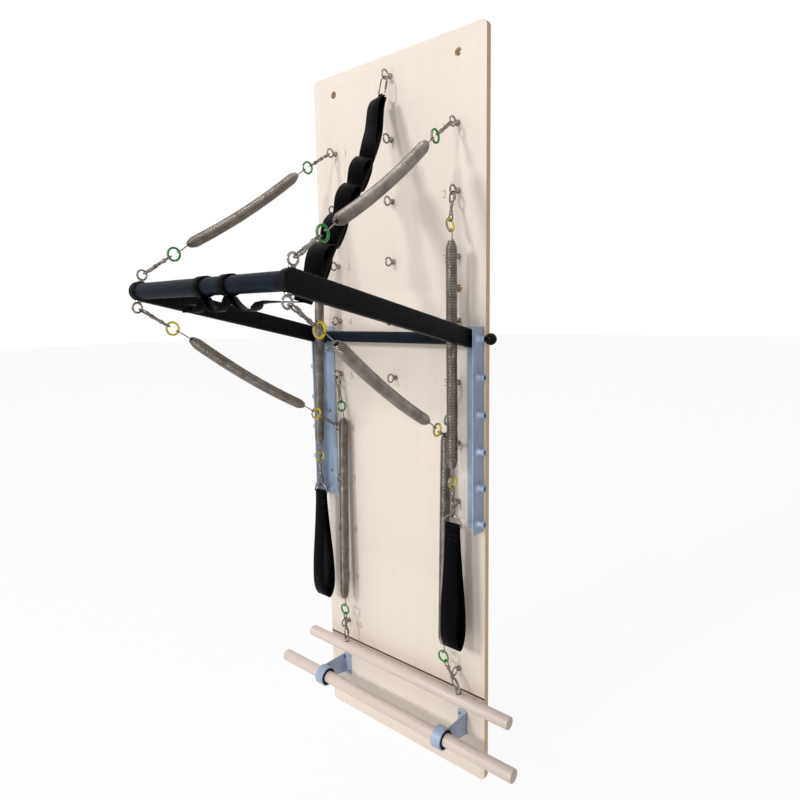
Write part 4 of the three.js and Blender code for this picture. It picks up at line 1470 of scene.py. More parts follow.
@dataclass
class Links:
    """Snap hooks, colour rings and coils, which every chain shares."""

    grow: Growers
    hook_length: float = 82.0
    bow_wire: float = 2.2
    swivel_wire: float = 2.0
    bow_length: float = 30.0
    bow_half: float = 7.5
    swivel_length: float = 18.0
    swivel_half: float = 5.6
    ring_radius: float = 15.5
    ring_wire: float = 2.5
    coil_radius: float = 12.7
    coil_wire: float = 1.8
    tail_wire: float = 1.5
    taper: float = 20.0
    neck_share: float = 0.36
    # How far a hook's ends lie past an eye's middle and short of a ring's middle.
    eye_pull: float = 6.015
    ring_pull: float = 10.54
    ring_half: float = 2.5
    # How far outside a ring's middle line its dip ends.
    dip_past: float = 1.7
    tail_gap: float = 0.8
    # The play between two turns of a coil.
    coil_play: float = 0.25
    hooks: dict[bool, Obj] = field(default_factory=dict)

    @property
    def span(self) -> float:
        """Give the distance from an eye's middle to a ring's middle along a hook."""
        return self.eye_pull + self.hook_length + self.ring_pull

    def pattern(self, quarter: bool) -> Obj:
        """Make a snap hook from its bow at the origin to its swivel eye along Z.

        Args:
            quarter: Whether its bow is turned a quarter turn against its eye.

        Returns:
            The pattern, made once.
        """
        if quarter in self.hooks:
            return self.hooks[quarter]
        turn = Matrix.Rotation(math.pi / 2 if quarter else 0.0, 4, "Z")
        bow = [turn @ p for p in stadium(self.bow_half, 0, self.bow_length)]
        eye_start = self.hook_length - self.swivel_length
        swivel = stadium(self.swivel_half, eye_start, self.hook_length)
        body = [(0, 26), (3.4, 26.3), (4.8, 28.2), (5.0, 31), (5.0, 37), (4.0, 39), (3.8, 41)]
        body += [(3.8, 55), (5.0, 56.4), (5.2, 57.6), (5.2, eye_start - 2.4)]
        body += [(4.0, eye_start + 0.4), (0, eye_start + 1.8)]
        # The hook's steel has painted shade: its colour is darker than the plate's, a painted
        # reflection of dark surroundings.
        pieces = [
            self.grow.wire("bow", bow, self.bow_wire, HOOK_STEEL_PAINTED_DARK, True, 10),
            self.grow.wire("swivel", swivel, self.swivel_wire, HOOK_STEEL_PAINTED_DARK, True, 10),
            lathe("barrel", body, Matrix.Identity(4), HOOK_STEEL_PAINTED_DARK, 20),
        ]
        thumb = frame_along(turn @ Vector((self.bow_half, 0, 17)), turn @ X, Z)
        knob = [(0, -1), (1.6, -0.6), (1.9, 2.6), (1.4, 3.6), (0, 3.9)]
        pieces.append(lathe("thumb", knob, thumb, HOOK_STEEL_PAINTED_DARK, 12))
        gate = frame_along(turn @ Vector((self.bow_half, 0, 0)), Z, X)
        sleeve = [(2.6, 10), (3.5, 10.6), (3.5, 22.4), (2.6, 23), (2.6, 10)]
        pieces.append(lathe("gate_sleeve", sleeve, gate, HOOK_STEEL_PAINTED_DARK, 14))
        self.hooks[quarter] = joined("hook_pattern", pieces)
        return self.hooks[quarter]

    def hook(
        self, name: str, tip: Vector, target: Vector, quarter: bool = False, axis: Vector = X
    ) -> Obj:
        """Hang a snap hook from its bow's tip towards a target, with its eye round an axis."""
        return copied(self.pattern(quarter), name, frame_along(tip, target - tip, axis))

    def ring(
        self, name: str, centre: Vector, along: Vector, finish: Finish, axis: Vector = X
    ) -> Obj:
        """Make a steel ring round a chain's line, with a coloured dip on its inner side.

        Args:
            name: The object's name.
            centre: The ring's middle.
            along: The direction of the chain.
            finish: The dip's finish.
            axis: A direction near the ring's axis.

        Returns:
            The ring.
        """
        frame = frame_along(centre, (axis - along * along.dot(axis)).normalized(), along)
        inner, middle = self.ring_radius - self.ring_wire, self.ring_radius + self.dip_past
        outer, half = self.ring_radius + self.ring_wire, self.ring_half
        low = [(inner, -half + 1.4), (inner + 1.1, -half), (middle - 0.8, -half)]
        low.append((middle, -half + 0.6))
        dip = [*low, *((r, -x) for r, x in low[::-1]), low[0]]
        low = [(middle, -half + 0.6), (outer - 0.4, -half + 0.6), (outer, -half + 1.2)]
        rim = [*low, *((r, -x) for r, x in low[::-1]), low[0]]
        skins = [lathe(name, dip, frame, finish, 44), lathe("rim", rim, frame, ZINC, 44)]
        return joined(name, skins)

    def tail(self, ring: Vector, tip: Vector, neck: Vector, axis: Vector) -> list[Vector]:
        """Bend a tail round a ring's wire.

        Args:
            ring: The ring's middle.
            tip: The coil's end on its axis.
            neck: Where the tail meets the coil's last turn.
            axis: The direction of the ring's axis.

        Returns:
            The tail's middle line.
        """
        frame = frame_along(ring, tip - ring, axis)
        turns = arc(self.ring_wire + self.tail_wire + self.tail_gap, 6, -200, 12)
        bend = [frame @ Vector((x, 0, self.ring_radius + z)) for x, z in turns]
        # The point just before the bend keeps the curve from swinging out past the ring.
        return [neck, neck.lerp(bend[0], 0.92), *bend]

    def coil(
        self,
        name: str,
        near: Vector,
        start: Vector,
        end: Vector,
        far: Vector,
        sag: float = 0.0,
        far_axis: Vector = X,
    ) -> Obj:
        """Wind a spring between two rings.

        Args:
            name: The spring's name.
            near: The middle of the ring at its start.
            start: Where its coil begins.
            end: Where its coil ends.
            far: The middle of the ring at its end.
            sag: How far its middle hangs below the line between its ends.
            far_axis: The direction of the end ring's axis.

        Returns:
            The spring with its two tails.
        """
        length = (end - start).length
        pitch = 2 * self.coil_wire + self.coil_play
        body = path_object(name, [Vector()], False, edges=False)
        values = {
            "Length": length * MM,
            "Turns": length / pitch,
            "Radius": self.coil_radius * MM,
            "Wire": self.coil_wire * MM,
            "Taper": self.taper * MM,
            "Neck Share": self.neck_share,
            "Steps": 22,
            "Sides": 8,
            "Finish": SPRING.material(),
        }
        grown(body, self.grow.coil_tree, values, 60.0)
        frame = frame_along(start, end - start, X)
        neck = self.coil_radius * self.neck_share
        body.data.transform(in_metres(frame))
        tails = []
        for ring, tip, axis in ((near, start, X), (far, end, far_axis)):
            away = (ring - tip).normalized()
            root = tip - away * 3 + frame.col[0].to_3d() * neck * 0.4
            points = smooth_loop(self.tail(ring, tip, root, axis), 3, False)
            tails.append(self.grow.wire("tail", points, self.tail_wire, SPRING, False, 8))
        spring = joined(name, [body, *tails])
        if sag:
            run = end - start
            for vertex in spring.data.vertices:
                share = (vertex.co / MM - start).dot(run) / run.length_squared
                share = min(max(share, 0.0), 1.0)
                vertex.co.z -= 4 * sag * share * (1 - share) * MM
        return spring

    def blended(
        self, spring: Obj, node: str, bodies: tuple[str, str], start: Vector, end: Vector
    ) -> None:
        """Bake a spring's place into its mesh, hide its CAD node and log the two bodies it runs
        between.

        Args:
            spring: The spring.
            node: The CAD node that it replaces.
            bodies: The bodies at its start and its end.
            start: Where its coil begins. Not used.
            end: Where its coil ends. Not used.
        """
        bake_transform(spring)
        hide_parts(node)
        faces = len(spring.data.polygons)
        LOG.info("%s between %s and %s: %d faces", spring.name, *bodies, faces)

    def clear(self) -> None:
        """Remove the patterns."""
        for pattern in self.hooks.values():
            dropped(pattern)


@dataclass
class BarSprings:
    """The four springs between the board and the push-through bar."""

    links: Links
    bar: PushBar
    board: Board
    coil_length: float = 396.0
    slack: float = 1.4
    sag: float = 11.0

    def build(self) -> None:
        """Make each chain: hook, ring, spring, ring, hook."""
        links = self.links
        for level, row, up, finish in (("upper", 1, 1, GREEN_DIP), ("lower", 6, -1, YELLOW_DIP)):
            for side_name, side in SIDES:
                name = f"{level}_{side_name}"
                eye = place(side * COLUMN_X, EYE_OFF, self.board.row_drop(row))
                bar_eye = self.bar.eye_centre(side, up)
                along = (bar_eye - eye).normalized()
                rear = eye + along * links.span
                front = bar_eye + along * (self.slack - links.span)
                spare = ((front - rear).length - self.coil_length) / 2
                start, end = rear + along * spare, front - along * spare
                chain, tip, link = f"{name}_chain", f"{name}_end", f"{name}_link"
                hook = links.hook(f"{name}_board_hook", eye + along * links.eye_pull, rear)
                dress(hook, chain, Slot.ZINC, f"{name}_rear_hook")
                ring = links.ring(f"{name}_board_ring", rear, along, finish)
                dress(ring, chain, finish.slot)
                ring = links.ring(f"{name}_bar_ring", front, along, finish)
                dress(ring, tip, finish.slot, f"{name}_front_ring")
                hook = links.hook(f"{name}_bar_hook", bar_eye - along * links.eye_pull, front)
                dress(hook, link, Slot.ZINC, f"{name}_front_hook")
                coil = links.coil(f"{name}_coil", rear, start, end, front, self.sag)
                links.blended(coil, f"{name}_spring", (chain, tip), start, end)


@dataclass
class LegSprings:
    """The two leg springs with their D-rings and foot straps."""

    links: Links
    board: Board
    row: int = 2
    top_x: tuple[float, float] = (234.0, 246.0)
    bottom_x: tuple[float, float] = (262.0, 246.0)
    coil_length: float = 576.0
    tail: float = 38.0
    stand_off: float = 66.0
    ring_off: float = 56.0
    ring_share: float = 0.6
    d_radius: float = 28.0
    d_wire: float = 2.4
    d_seat: float = 2.5
    strap_width: float = 46.0
    strap_thick: float = 3.4
    strap_length: float = 345.0
    strap_waist: float = 4.0
    strap_flare: float = 10.0
    belly: float = 22.0
    stitch_half: float = 17.0
    stitch_drops: tuple[float, float] = (24.0, 36.0)
    shape: tuple[tuple[float, float], ...] = (
        (0, -0.012), (0.2, 0), (0.25, 0.1), (0.62, 0.38), (1, 0.68), (0.9, 0.9), (0, 1),
    )

    def d_ring(self, name: str, top: Vector) -> Obj:
        """Bend a D-ring: a bow over a straight bar.

        Args:
            name: The object's name.
            top: The top of its bow.

        Returns:
            The D-ring.
        """
        middle = top - Z * self.d_radius
        points = [middle + Vector((x, 0, z)) for x, z in arc(self.d_radius, 0, 180, 24)]
        return self.links.grow.wire(name, points, self.d_wire, ZINC, True)

    def strap(self, name: str, bar: Vector) -> tuple[Obj, float]:
        """Sew a foot strap round a D-ring's bar.

        Args:
            name: The strap's name.
            bar: The middle of the bar.

        Returns:
            The strap and the length of its webbing.
        """
        belly, length = self.belly, self.strap_length
        right = [Vector((0, out * belly, -drop * length)) for out, drop in self.shape]
        left = [Vector((p.x, -p.y, p.z)) for p in right[1:-1]][::-1]
        path = [bar + p for p in smooth_loop(right + left, 10)]
        lowest = min(p.z for p in path)

        def widths(i: int) -> float:
            """Widen the strap towards its foot end."""
            share = (bar.z - path[i].z) / max(bar.z - lowest, 1)
            widened = min(max(share * 1.6 - 0.4, 0.0), 1.0)
            return self.strap_width - self.strap_waist + self.strap_flare * widened

        tape = ribbon(name, path, lambda i: X, widths, self.strap_thick, True)
        return tape, path_length(path, True)

    def stitching(self, name: str, bar: Vector) -> Obj:
        """Sew two rows across each face of the strap, below the D-ring.

        Args:
            name: The object's name.
            bar: The middle of the D-ring's bar.

        Returns:
            The stitches.
        """
        rows = []
        for face in (-1, 1):
            y = bar.y + face * (0.25 * self.belly + self.strap_thick / 2 + 0.2)
            for drop in self.stitch_drops:
                ends = [Vector((bar.x + s * self.stitch_half, y, bar.z - drop)) for s in (-1, 1)]
                rows.append(self.links.grow.stitches("row", ends))
        return joined(name, rows)

    def build(self) -> None:
        """Make each chain: hook, ring, spring, ring, hook, D-ring and strap."""
        links = self.links
        for index, (side_name, side) in enumerate(SIDES):
            name = f"leg_{side_name}"
            top_x, bottom_x = self.top_x[index], self.bottom_x[index]
            eye = place(side * COLUMN_X, EYE_OFF, self.board.row_drop(self.row))
            aside = side * (top_x - COLUMN_X) * self.ring_share
            lean = Vector((aside, -(self.ring_off - EYE_OFF), 0))
            upper = eye + lean - Z * math.sqrt(links.span**2 - lean.length_squared)
            start = Vector((side * top_x, -BOARD_THICK - self.stand_off, upper.z - self.tail))
            run = Vector((side * (bottom_x - top_x), 0, -self.coil_length)).normalized()
            end = start + run * self.coil_length
            lower = end - Z * self.tail
            tip = lower - Z * (links.ring_pull + links.hook_length)
            d_top = tip + Z * (links.bow_wire + self.d_seat)
            along = (upper - eye).normalized()
            chain, low, stirrup = f"{name}_chain", f"{name}_end", f"{name}_stirrup"
            hook = links.hook(f"{name}_board_hook", eye + along * links.eye_pull, upper)
            dress(hook, chain, Slot.ZINC, f"{name}_upper_hook")
            # The ring stands between the hook's direction and the spring's.
            held = ((upper - start).normalized() - along).normalized()
            ring = links.ring(f"{name}_top_ring", upper, held, YELLOW_DIP)
            dress(ring, chain, Slot.RING_YELLOW)
            ring = links.ring(f"{name}_bottom_ring", lower, Z, YELLOW_DIP)
            dress(ring, low, Slot.RING_YELLOW, f"{name}_lower_ring")
            hook = links.hook(f"{name}_strap_hook", tip, lower, quarter=True)
            dress(hook, low, Slot.ZINC, f"{name}_lower_hook")
            coil = links.coil(f"{name}_coil", upper, start, end, lower)
            links.blended(coil, f"{name}_spring", (chain, low), start, end)
            dress(self.d_ring(f"{name}_strap_ring", d_top), stirrup, Slot.ZINC, f"{name}_d_ring")
            bar = d_top - Z * self.d_radius
            tape, length = self.strap(f"{name}_foot_loop", bar)
            dress(tape, stirrup, Slot.WEBBING, f"{name}_foot_strap")
            dress(self.stitching(f"{name}_loop_stitches", bar), stirrup, Slot.WEBBING)


@dataclass
class RollDownSet:
    """The roll-down bar on its two springs."""

    links: Links
    board: Board
    row: int = 5
    ring_x: float = 203.0
    spring_x: float = 195.5
    spring_off: float = 24.0
    ring_off: float = 42.0
    radius: float = 17.0
    length: float = 760.0
    drift: float = 31.0
    stand_off: float = 46.0
    drop: float = 1747.0
    eye_span: float = 436.0
    eye_radius: float = 9.0
    eye_height: float = 25.0
    hook_span: float = 97.1
    tail: float = 38.0

    def bar_eye(self, side: float) -> Vector:
        """Give the middle of a screw eye on the bar."""
        x = self.drift + side * self.eye_span / 2
        return place(x, self.stand_off, self.drop - self.eye_height)

    def dowel(self, name: str, centre: Vector, radius: float, length: float) -> Obj:
        """Turn a dowel with softened ends.

        Args:
            name: The object's name.
            centre: Its middle.
            radius: Its radius.
            length: Its length along X.

        Returns:
            The dowel.
        """
        half = length / 2
        end = [(0, half), (radius - 2.4, half), (radius - 0.9, half - 0.6), (radius, half - 2.4)]
        profile = [*((r, -x) for r, x in end), *end[::-1]]
        return lathe(name, profile, frame_along(centre, X, Y), BEECH, 40)

    def build(self) -> None:
        """Make both chains and the bar with its screw eyes."""
        links = self.links
        for side_name, side in SIDES:
            name = f"roll_{side_name}"
            eye = place(side * COLUMN_X, EYE_OFF, self.board.row_drop(self.row))
            lean = Vector((side * (self.ring_x - COLUMN_X), -(self.spring_off - EYE_OFF), 0))
            upper = eye + lean - Z * math.sqrt(links.span**2 - lean.length_squared)
            start = Vector((side * self.spring_x, upper.y, upper.z - self.tail))
            bar_eye = self.bar_eye(side)
            lower = Vector((side * self.spring_x, -BOARD_THICK - self.ring_off, bar_eye.z))
            lower.z += math.sqrt(self.hook_span**2 - (lower - bar_eye).length_squared)
            end = lower + Z * self.tail
            along, down = (upper - eye).normalized(), (bar_eye - lower).normalized()
            tip = lower + down * (links.ring_pull + links.hook_length)
            hook = links.hook(f"{name}_board_hook", eye + along * links.eye_pull, upper)
            dress(hook, "roll_chain", Slot.ZINC, f"{name}_upper_hook")
            ring = links.ring(f"{name}_top_ring", upper, (upper - start).normalized(), GREEN_DIP)
            dress(ring, "roll_chain", Slot.RING_GREEN)
            ring = links.ring(f"{name}_bottom_ring", lower, Z, GREEN_DIP, Y)
            dress(ring, "roll_bar", Slot.RING_GREEN)
            hook = links.hook(f"{name}_bar_hook", tip, lower, axis=Y)
            dress(hook, "roll_bar", Slot.ZINC, f"{name}_lower_hook")
            coil = links.coil(f"{name}_coil", upper, start, end, lower, far_axis=Y)
            links.blended(coil, f"{name}_spring", ("roll_chain", "roll_bar"), start, end)
        centre = self.bar_eye(0) - Z * self.eye_height
        bar = self.dowel("roll_down_dowel", centre, self.radius, self.length)
        dress(bar, "roll_bar", Slot.DOWEL, "roll_down_bar")
        pieces = []
        for _, side in SIDES:
            spot = self.bar_eye(side) - Z * self.eye_height
            stem = [(0, -19), (2.8, -19), (3.6, -18), (3.6, -16), (4, -15.5), (4, 12)]
            stem += [(6.8, 15.6), (6.8, 17.6), (3.2, 18.4), (2.2, 20), (0, 20)]
            pieces.append(lathe("screw_eye", stem, frame_along(spot, Z, X), ZINC, 20))
            ring = ring_points(self.bar_eye(side), self.eye_radius, Z, Y)
            pieces.append(links.grow.wire("ring", ring, 2.0, ZINC, True))
        dress(joined("roll_bar_screw_eyes", pieces), "roll_bar", Slot.ZINC)


@dataclass
class FootBar:
    """The fixed foot bar in its two lined clamps."""

    grow: Growers
    roll: RollDownSet
    radius: float = 18.0
    length: float = 880.0
    drift: float = 18.0
    stand_off: float = 104.0
    drop: float = 1837.0
    clamp_x: float = 232.0
    clamp_radius: float = 29.5
    band: float = 4.0
    clamp_width: float = 30.0
    plate_width: float = 30.0
    plate_height: float = 72.0
    plate_thick: float = 4.0
    plate_drop: float = 1846.0
    corner: float = 4.0
    screw_x: float = 9.0
    screw_rise: float = 24.0

    def clamp(self, name: str, side: int) -> tuple[Obj, Obj]:
        """Bend a clamp and line it with rubber.

        Args:
            name: The clamp's name.
            side: Its side of the board.

        Returns:
            The steel and the rubber.
        """
        centre = place(side * self.clamp_x, self.stand_off, self.drop)
        outer, half = self.clamp_radius, self.clamp_width / 2
        inner, bore = outer - self.band, self.radius + 0.2
        band = [(inner, -half), (outer - 0.8, -half), (outer, -half + 0.8), (outer, half - 0.8)]
        band += [(outer - 0.8, half), (inner, half), (inner, -half)]
        frame = frame_along(centre, X, Y)
        steel = [lathe("band", band, frame, BLUE_COAT, 48)]
        lip = half + 0.8
        lining = [(bore, -lip), (inner, -lip), (inner, lip), (bore, lip), (bore, -lip)]
        rubber = lathe(f"{name}_liner", lining, frame, RUBBER, 48)
        width, high = self.plate_width / 2, self.plate_height / 2
        front = -BOARD_THICK - STEEL_GAP
        middle = BOARD_HEIGHT / 2 - self.plate_drop
        outline = rounded_outline(width, -high, high, self.corner, self.corner, 4)
        plate = frame_along(Vector((centre.x, front, middle)), -Y, X)
        steel.append(prism("plate", outline, self.plate_thick, plate, BLUE_COAT, 0.5))
        web = [(front - 1, middle + high - 3), (front - 1, middle - high + 3)]
        bend = arc((inner + outer) / 2, -66, 132, 12)
        web += [(centre.y + u, centre.z + v) for u, v in bend]
        sheet = Matrix((Y, Z, X)).transposed().to_4x4()
        edge = centre.x + side * (width - self.plate_thick / 2)
        sheet.translation = Vector((edge - self.plate_thick / 2, 0, 0))
        steel.append(prism("gusset", web, self.plate_thick, sheet, BLUE_COAT, 0.5))
        return joined(name, steel), rubber

    def build(self) -> None:
        """Make the bar, its clamps and their screws."""
        centre = place(self.drift, self.stand_off, self.drop)
        bar = self.roll.dowel("foot_bar_dowel", centre, self.radius, self.length)
        dress(bar, "root", Slot.DOWEL, "foot_bar")
        head = [(0, -1), (4.6, -1), (4.8, 0.4), (4.2, 1.8), (3.0, 2.6), (1.6, 2.8), (1.5, 1.2)]
        pattern = lathe("clamp_screw", [*head, (0, 1.0)], Matrix.Identity(4), ZINC, 20)
        spots = []
        for name, side in SIDES:
            steel, rubber = self.clamp(f"{name}_bar_clamp", side)
            dress(steel, "root", Slot.BLUE_STEEL, f"foot_bar_clamp_{name}")
            dress(rubber, "root", Slot.LINER)
            for end in (-1, 1):
                x = side * self.clamp_x + end * self.screw_x
                drop = self.plate_drop + end * self.screw_rise
                spots.append((place(x, STEEL_GAP + self.plate_thick, drop), FACING_ROOM))
        self.grow.strew("clamp_screws", pattern, spots)


@dataclass
class SafetyStrap:
    """The looped webbing from the top eye to the handle, and its hook."""

    links: Links
    bar: PushBar
    width: float = 38.0
    thick: float = 2.4
    lean: float = 0.27
    hook_length: float = 56.0
    hook_half: float = 11.0
    hook_wire: float = 2.0
    eye_radius: float = 6.0
    eye_slack: float = 0.8
    eye_width: float = 11.0
    top_drop: float = 57.0
    end: tuple[float, float, float] = (215.0, 522.0, 663.0)
    # The run's middle line: X, distance from the board and drop, as it hangs in the photograph.
    route: tuple[tuple[float, float, float], ...] = (
        (6, 60, 160), (30, 103, 245), (80, 221, 374), (140, 367, 522), (190, 456, 597),
        (215, 522, 663),
    )
    # Each sewn loop: its start and end as shares of the run, its side and its height.
    loops: tuple[tuple[float, float, int, float], ...] = (
        (0.0, 0.3, 1, 19.0), (0.32, 0.46, 1, 22.0), (0.31, 0.45, -1, 26.0), (0.47, 0.61, 1, 24.0),
        (0.62, 0.75, 1, 20.0), (0.61, 0.74, -1, 22.0), (0.77, 0.93, 1, 26.0), (0.8, 0.96, -1, 24.0),
    )
    # The run's twist, the share of it that it takes, and how far a front loop opens besides.
    twist_deg: float = -38.0
    twisted_by: float = 0.34
    open_deg: float = 16.0
    # The front layer's gap, and the shares of the run where it starts, opens and closes.
    gap: float = 6.0
    gap_start: float = 0.16
    gap_rise: float = 0.12
    gap_fall: float = 0.05
    # The power that lifts a loop's peak to its upper end, and how far off the run it lies, as a
    # share of the thickness.
    loop_lean: float = 0.8
    loop_seat: float = 0.6
    wrap_width: float = 26.0
    wrap_gap: float = 0.6
    wrap_drift: float = 5.0
    wraps: tuple[float, ...] = (90.0, 0.0)
    tail_x: float = -70.0
    swag: float = 30.0

    def hanging(self) -> Vector:
        """Give the direction in which the hook hangs."""
        return Vector((0, -self.lean, -1)).normalized()

    def eye_middle(self) -> Vector:
        """Give the middle of the webbing's eye, which hangs in the hook."""
        reach = self.links.eye_pull + self.hook_length + self.eye_slack
        return place(0, EYE_OFF, self.top_drop) + self.hanging() * reach

    def run(self) -> tuple[Obj, float, Vector, Vector]:
        """Sew the main run with loops on both faces.

        Returns:
            The webbing, the length of it all, and the run's two ends.
        """
        middle = self.eye_middle()
        top = middle + self.hanging() * (self.eye_radius + self.thick)
        line = smooth_loop([top, *(place(*stop) for stop in self.route)], 12, False)
        whole, total = path_length(line), 0.0
        lengths = [0.0]
        for a, b in zip(line, line[1:]):
            lengths.append(lengths[-1] + (b - a).length)
        heading = (line[-1] - line[0]).normalized()
        flat_way = (X - heading * heading.x).normalized()

        def at(share: float) -> Vector:
            """Give the point at a share of the run.

            Args:
                share: How far along the run, from 0 to 1.

            Returns:
                The point.
            """
            reach = share * whole
            last = len(lengths) - 1
            i = next((k for k in range(1, last) if lengths[k] >= reach), last)
            part = (reach - lengths[i - 1]) / (lengths[i] - lengths[i - 1])
            return line[i - 1].lerp(line[i], part)

        def front(share: float) -> float:
            """Give how far the front layer stands off the run, to which both its ends are sewn."""
            grown_by = (share - self.gap_start) / self.gap_rise
            off = min(1.0, grown_by, (1 - share) / self.gap_fall)
            return self.thick + self.gap * max(0.0, off)

        pieces = []
        for first, last, face, height in ((0.0, 1.0, 0, 0.0), (0.0, 1.0, 1, 0.0), *self.loops):
            path, ways = [], []
            steps = 48 if height == 0 else 24
            for i in range(steps + 1):
                part = i / steps
                share = first + (last - first) * part
                opened = self.open_deg * math.sin(math.pi * part) if height and face > 0 else 0.0
                twist = self.twist_deg * min(1.0, share / self.twisted_by)
                angle = math.radians(twist + opened)
                across = Matrix.Rotation(angle, 3, heading) @ flat_way
                lift = height * math.sin(math.pi * part**self.loop_lean) ** 0.5
                lift += self.thick * self.loop_seat if height else 0.0
                away = front(share) + lift if face > 0 else -lift
                path.append(at(share) + heading.cross(across) * away)
                ways.append(across)
            pieces.append(ribbon("run", path, lambda i: ways[i], lambda i: self.width, self.thick))
            total += path_length(path)
        return joined("safety_strap_run", pieces), total, top, at(1.0)

    def wrap(self, x: float) -> list[Vector]:
        """Give the middle line of one turn round the handle.

        Args:
            x: The turn's place along the handle.

        Returns:
            The turn's points.
        """
        handle = self.bar.front(1)
        radius = self.bar.handle_radius + self.wrap_gap + self.thick / 2
        drift, turns = self.wrap_drift, [math.tau * i / 32 for i in range(32)]
        return [
            Vector((x + drift * sin, handle.y + radius * sin, handle.z - radius * cos))
            for sin, cos in ((math.sin(a), math.cos(a)) for a in turns)
        ]

    def slack_path(self) -> list[Vector]:
        """Give the middle line of the slack webbing below the handle.

        Returns:
            The slack's points, from the run's end to its tail.
        """
        handle = self.bar.front(1)
        under = handle.z - self.bar.handle_radius - self.wrap_gap - self.thick
        end = place(*self.end)
        stops = (end.x, *self.wraps, self.tail_x)
        points = [end]
        for s, (a, b) in enumerate(zip(stops, stops[1:])):
            for i in range(1 if s == 0 else 0, 6):
                share = i / 6
                height = under - math.sin(math.pi * share) * self.swag
                points.append(Vector((a + (b - a) * share, handle.y, height)))
        points.append(Vector((self.tail_x, handle.y, under - self.swag)))
        return smooth_loop(points, 4, False)

    def build(self) -> None:
        """Make the hook, the run and the slack with its wraps."""
        hang = self.hanging()
        tip = place(0, EYE_OFF, self.top_drop) + hang * self.links.eye_pull
        frame = frame_along(tip, hang, X)
        loop = [frame @ p for p in stadium(self.hook_half, 0, self.hook_length)]
        hook = self.links.grow.wire("strap_carabiner", loop, self.hook_wire, ZINC, True)
        gate = frame_along(frame @ Vector((self.hook_half, 0, 0)), hang, X)
        profile = [(2.1, 16), (3.2, 17), (3.2, 38), (2.1, 39), (2.1, 16)]
        hook = joined("strap_carabiner", [hook, lathe("gate", profile, gate, ZINC, 18)])
        dress(hook, "strap_hook", Slot.ZINC, "safety_strap_hook")
        eye = ring_points(self.eye_middle(), self.eye_radius, hang, X, 24)
        name, wide = "safety_strap_eye", self.eye_width
        held = ribbon(name, eye, lambda i: X, lambda i: wide, self.thick, True)
        dress(held, "strap_hook", Slot.WEBBING)
        run, length, top, end = self.run()
        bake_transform(run)
        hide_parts("safety_strap")
        path, wide = self.slack_path(), self.wrap_width
        pieces = [ribbon("slack", path, lambda i: Y, lambda i: wide, self.thick)]
        total = path_length(path)
        for x in self.wraps:
            turn = self.wrap(x)
            pieces.append(ribbon("wrap", turn, lambda i: X, lambda i: wide, self.thick, True))
            total += path_length(turn, True)
        slack = dress(joined("safety_strap_slack", pieces), "push_bar", Slot.WEBBING)
        LOG.info("safety strap: %.0f mm and %.0f mm of webbing", length, total)


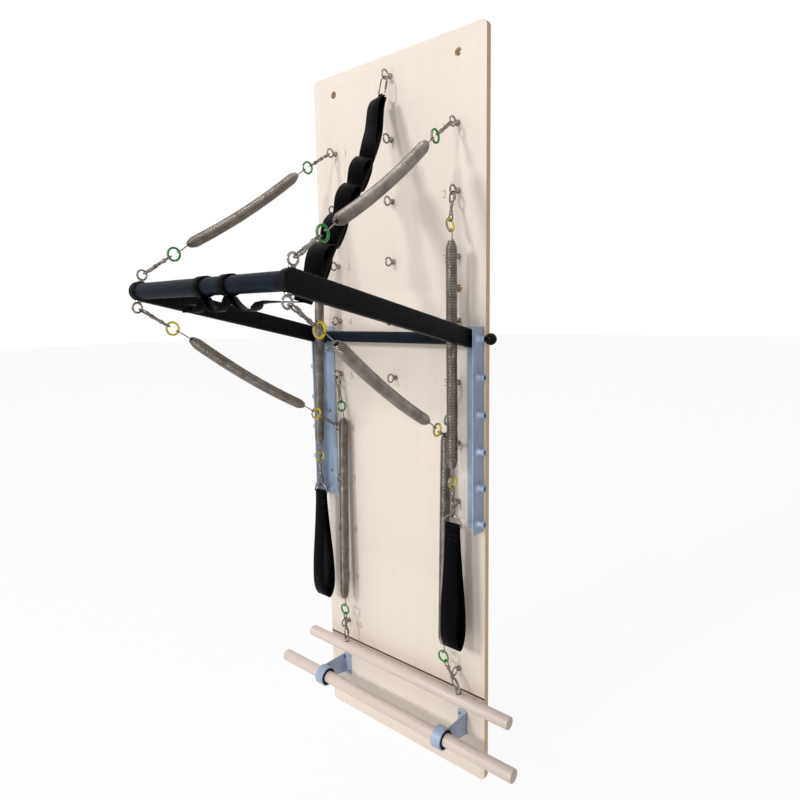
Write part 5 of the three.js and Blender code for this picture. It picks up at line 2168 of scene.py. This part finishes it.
@dataclass
class Studio:
    """The camera, lamps, pale floor and white world."""

    focal_px: float = 611.7
    azimuth: float = 40.58
    elevation: float = 8.13
    roll: float = -0.95
    spot: tuple[float, float, float] = (1149.4, -1342.4, 313.3)
    frame_px: float = 800.0
    floor_half: float = 3e4
    floor_glow: float = 0.9
    # The room's light from the left and from the right.
    room_light: tuple[float, float] = (1.05, 0.02)

    def camera(self) -> None:
        """Stand the camera where the photograph was taken."""
        angles = (self.azimuth, self.elevation, self.roll)
        azimuth, elevation, roll = (math.radians(angle) for angle in angles)
        level = Vector((-math.sin(azimuth), math.cos(azimuth), 0))
        forward = level * math.cos(elevation) - Z * math.sin(elevation)
        right = Vector((math.cos(azimuth), math.sin(azimuth), 0))
        up = right.cross(forward)
        turned_right = right * math.cos(roll) + up * math.sin(roll)
        turned_up = up * math.cos(roll) - right * math.sin(roll)
        data = bpy.data.cameras.new("camera")
        data.sensor_width = 36.0
        data.lens = self.focal_px / self.frame_px * data.sensor_width
        data.clip_end = 100.0
        camera = linked("camera", data)
        camera.matrix_world = Matrix((turned_right, turned_up, -forward)).transposed().to_4x4()
        camera.location = Vector(self.spot) * MM
        bpy.context.scene.camera = camera

    def lamp(self, name: str, spot: tuple[float, float, float], size: float, power: float) -> None:
        """Hang a soft square lamp that faces the middle of the unit.

        Args:
            name: The object's name.
            spot: Where it hangs, in metres.
            size: The side of its square, in metres.
            power: Its power in watts.
        """
        data = bpy.data.lights.new(name, "AREA")
        data.size = size
        data.energy = power
        lamp = linked(name, data)
        aim = Vector((0, -0.2, 0)) - Vector(spot)
        lamp.rotation_euler = aim.to_track_quat("-Z", "Y").to_euler()
        lamp.location = spot

    def floor(self) -> None:
        """Lay a white floor that the camera sees bright, with the unit's shadow kept faint."""
        far, low = self.floor_half, -BOARD_HEIGHT / 2 - 2
        rim = ((-far, -far), (far, -far), (far, far), (-far, far))
        points = [Vector((x, y, low)) for x, y in rim]
        finish = Coated(
            "pale_floor", Slot.BOARD, "ffffff", "fefefe", 0.9, specular=0.0, bump_mm=0.0,
            cloud_mm=400.0,
        )
        tree = finish.material().node_tree
        lit = next(n for n in tree.nodes if n.type == "BSDF_PRINCIPLED")
        out = next(n for n in tree.nodes if n.type == "OUTPUT_MATERIAL")
        white = add_node(tree, "ShaderNodeEmission", {"Color": WHITE, "Strength": 1.0})
        ray = add_node(tree, "ShaderNodeLightPath").outputs
        share = maths(tree, "MULTIPLY", ray["Is Camera Ray"], self.floor_glow)
        links = {0: share, 1: lit.outputs["BSDF"], 2: white.outputs["Emission"]}
        both = add_node(tree, "ShaderNodeMixShader", links)
        tree.links.new(both.outputs["Shader"], out.inputs["Surface"])
        mesh_object("floor", points, [[0, 1, 2, 3]], finish)

    def world(self) -> None:
        """Light the room softly and show it white to the camera and in reflections."""
        world = bpy.data.worlds.new("white_room")
        bpy.context.scene.world = world
        world.use_nodes = True
        tree = world.node_tree
        tree.nodes.clear()
        way = add_node(tree, "ShaderNodeTexCoord").outputs["Generated"]
        across = add_node(tree, "ShaderNodeSeparateXYZ", {"Vector": way}).outputs["X"]
        left, right = self.room_light
        links = {"Value": across, "From Min": -1.0, "To Min": left, "To Max": right}
        bright = add_node(tree, "ShaderNodeMapRange", links).outputs["Result"]
        lit, seen = (
            add_node(tree, "ShaderNodeBackground", {"Color": WHITE, "Strength": strength})
            for strength in (bright, 1.0)
        )
        ray = add_node(tree, "ShaderNodeLightPath").outputs
        shown = ray["Is Camera Ray"]
        for name in ("Is Glossy Ray", "Is Transmission Ray"):
            shown = maths(tree, "MAXIMUM", shown, ray[name])
        links = {0: shown, 1: lit.outputs["Background"], 2: seen.outputs["Background"]}
        both = add_node(tree, "ShaderNodeMixShader", links)
        add_node(tree, "ShaderNodeOutputWorld", {"Surface": both.outputs["Shader"]})

    def build(self) -> None:
        """Set up the whole studio."""
        bpy.context.scene.view_settings.view_transform = "Standard"
        self.camera()
        self.lamp("key", spot=(-2.2, -9.0, 4.2), size=1.7, power=350.0)
        self.lamp("front", spot=(0.7, -5.0, 1.7), size=0.35, power=44.0)
        self.floor()
        self.world()


def main() -> None:
    """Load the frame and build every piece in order."""
    logging.basicConfig(level=logging.INFO, format="%(name)s %(message)s")
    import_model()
    Studio().build()
    grow = Growers()
    board = Board(grow)
    board.build()
    Brackets(grow).build()
    bar = PushBar(grow)
    bar.build()
    links = Links(grow)
    BarSprings(links, bar, board).build()
    LegSprings(links, board).build()
    roll = RollDownSet(links, board)
    roll.build()
    FootBar(grow, roll).build()
    SafetyStrap(links, bar).build()
    links.clear()


if __name__ == "__main__":
    main()
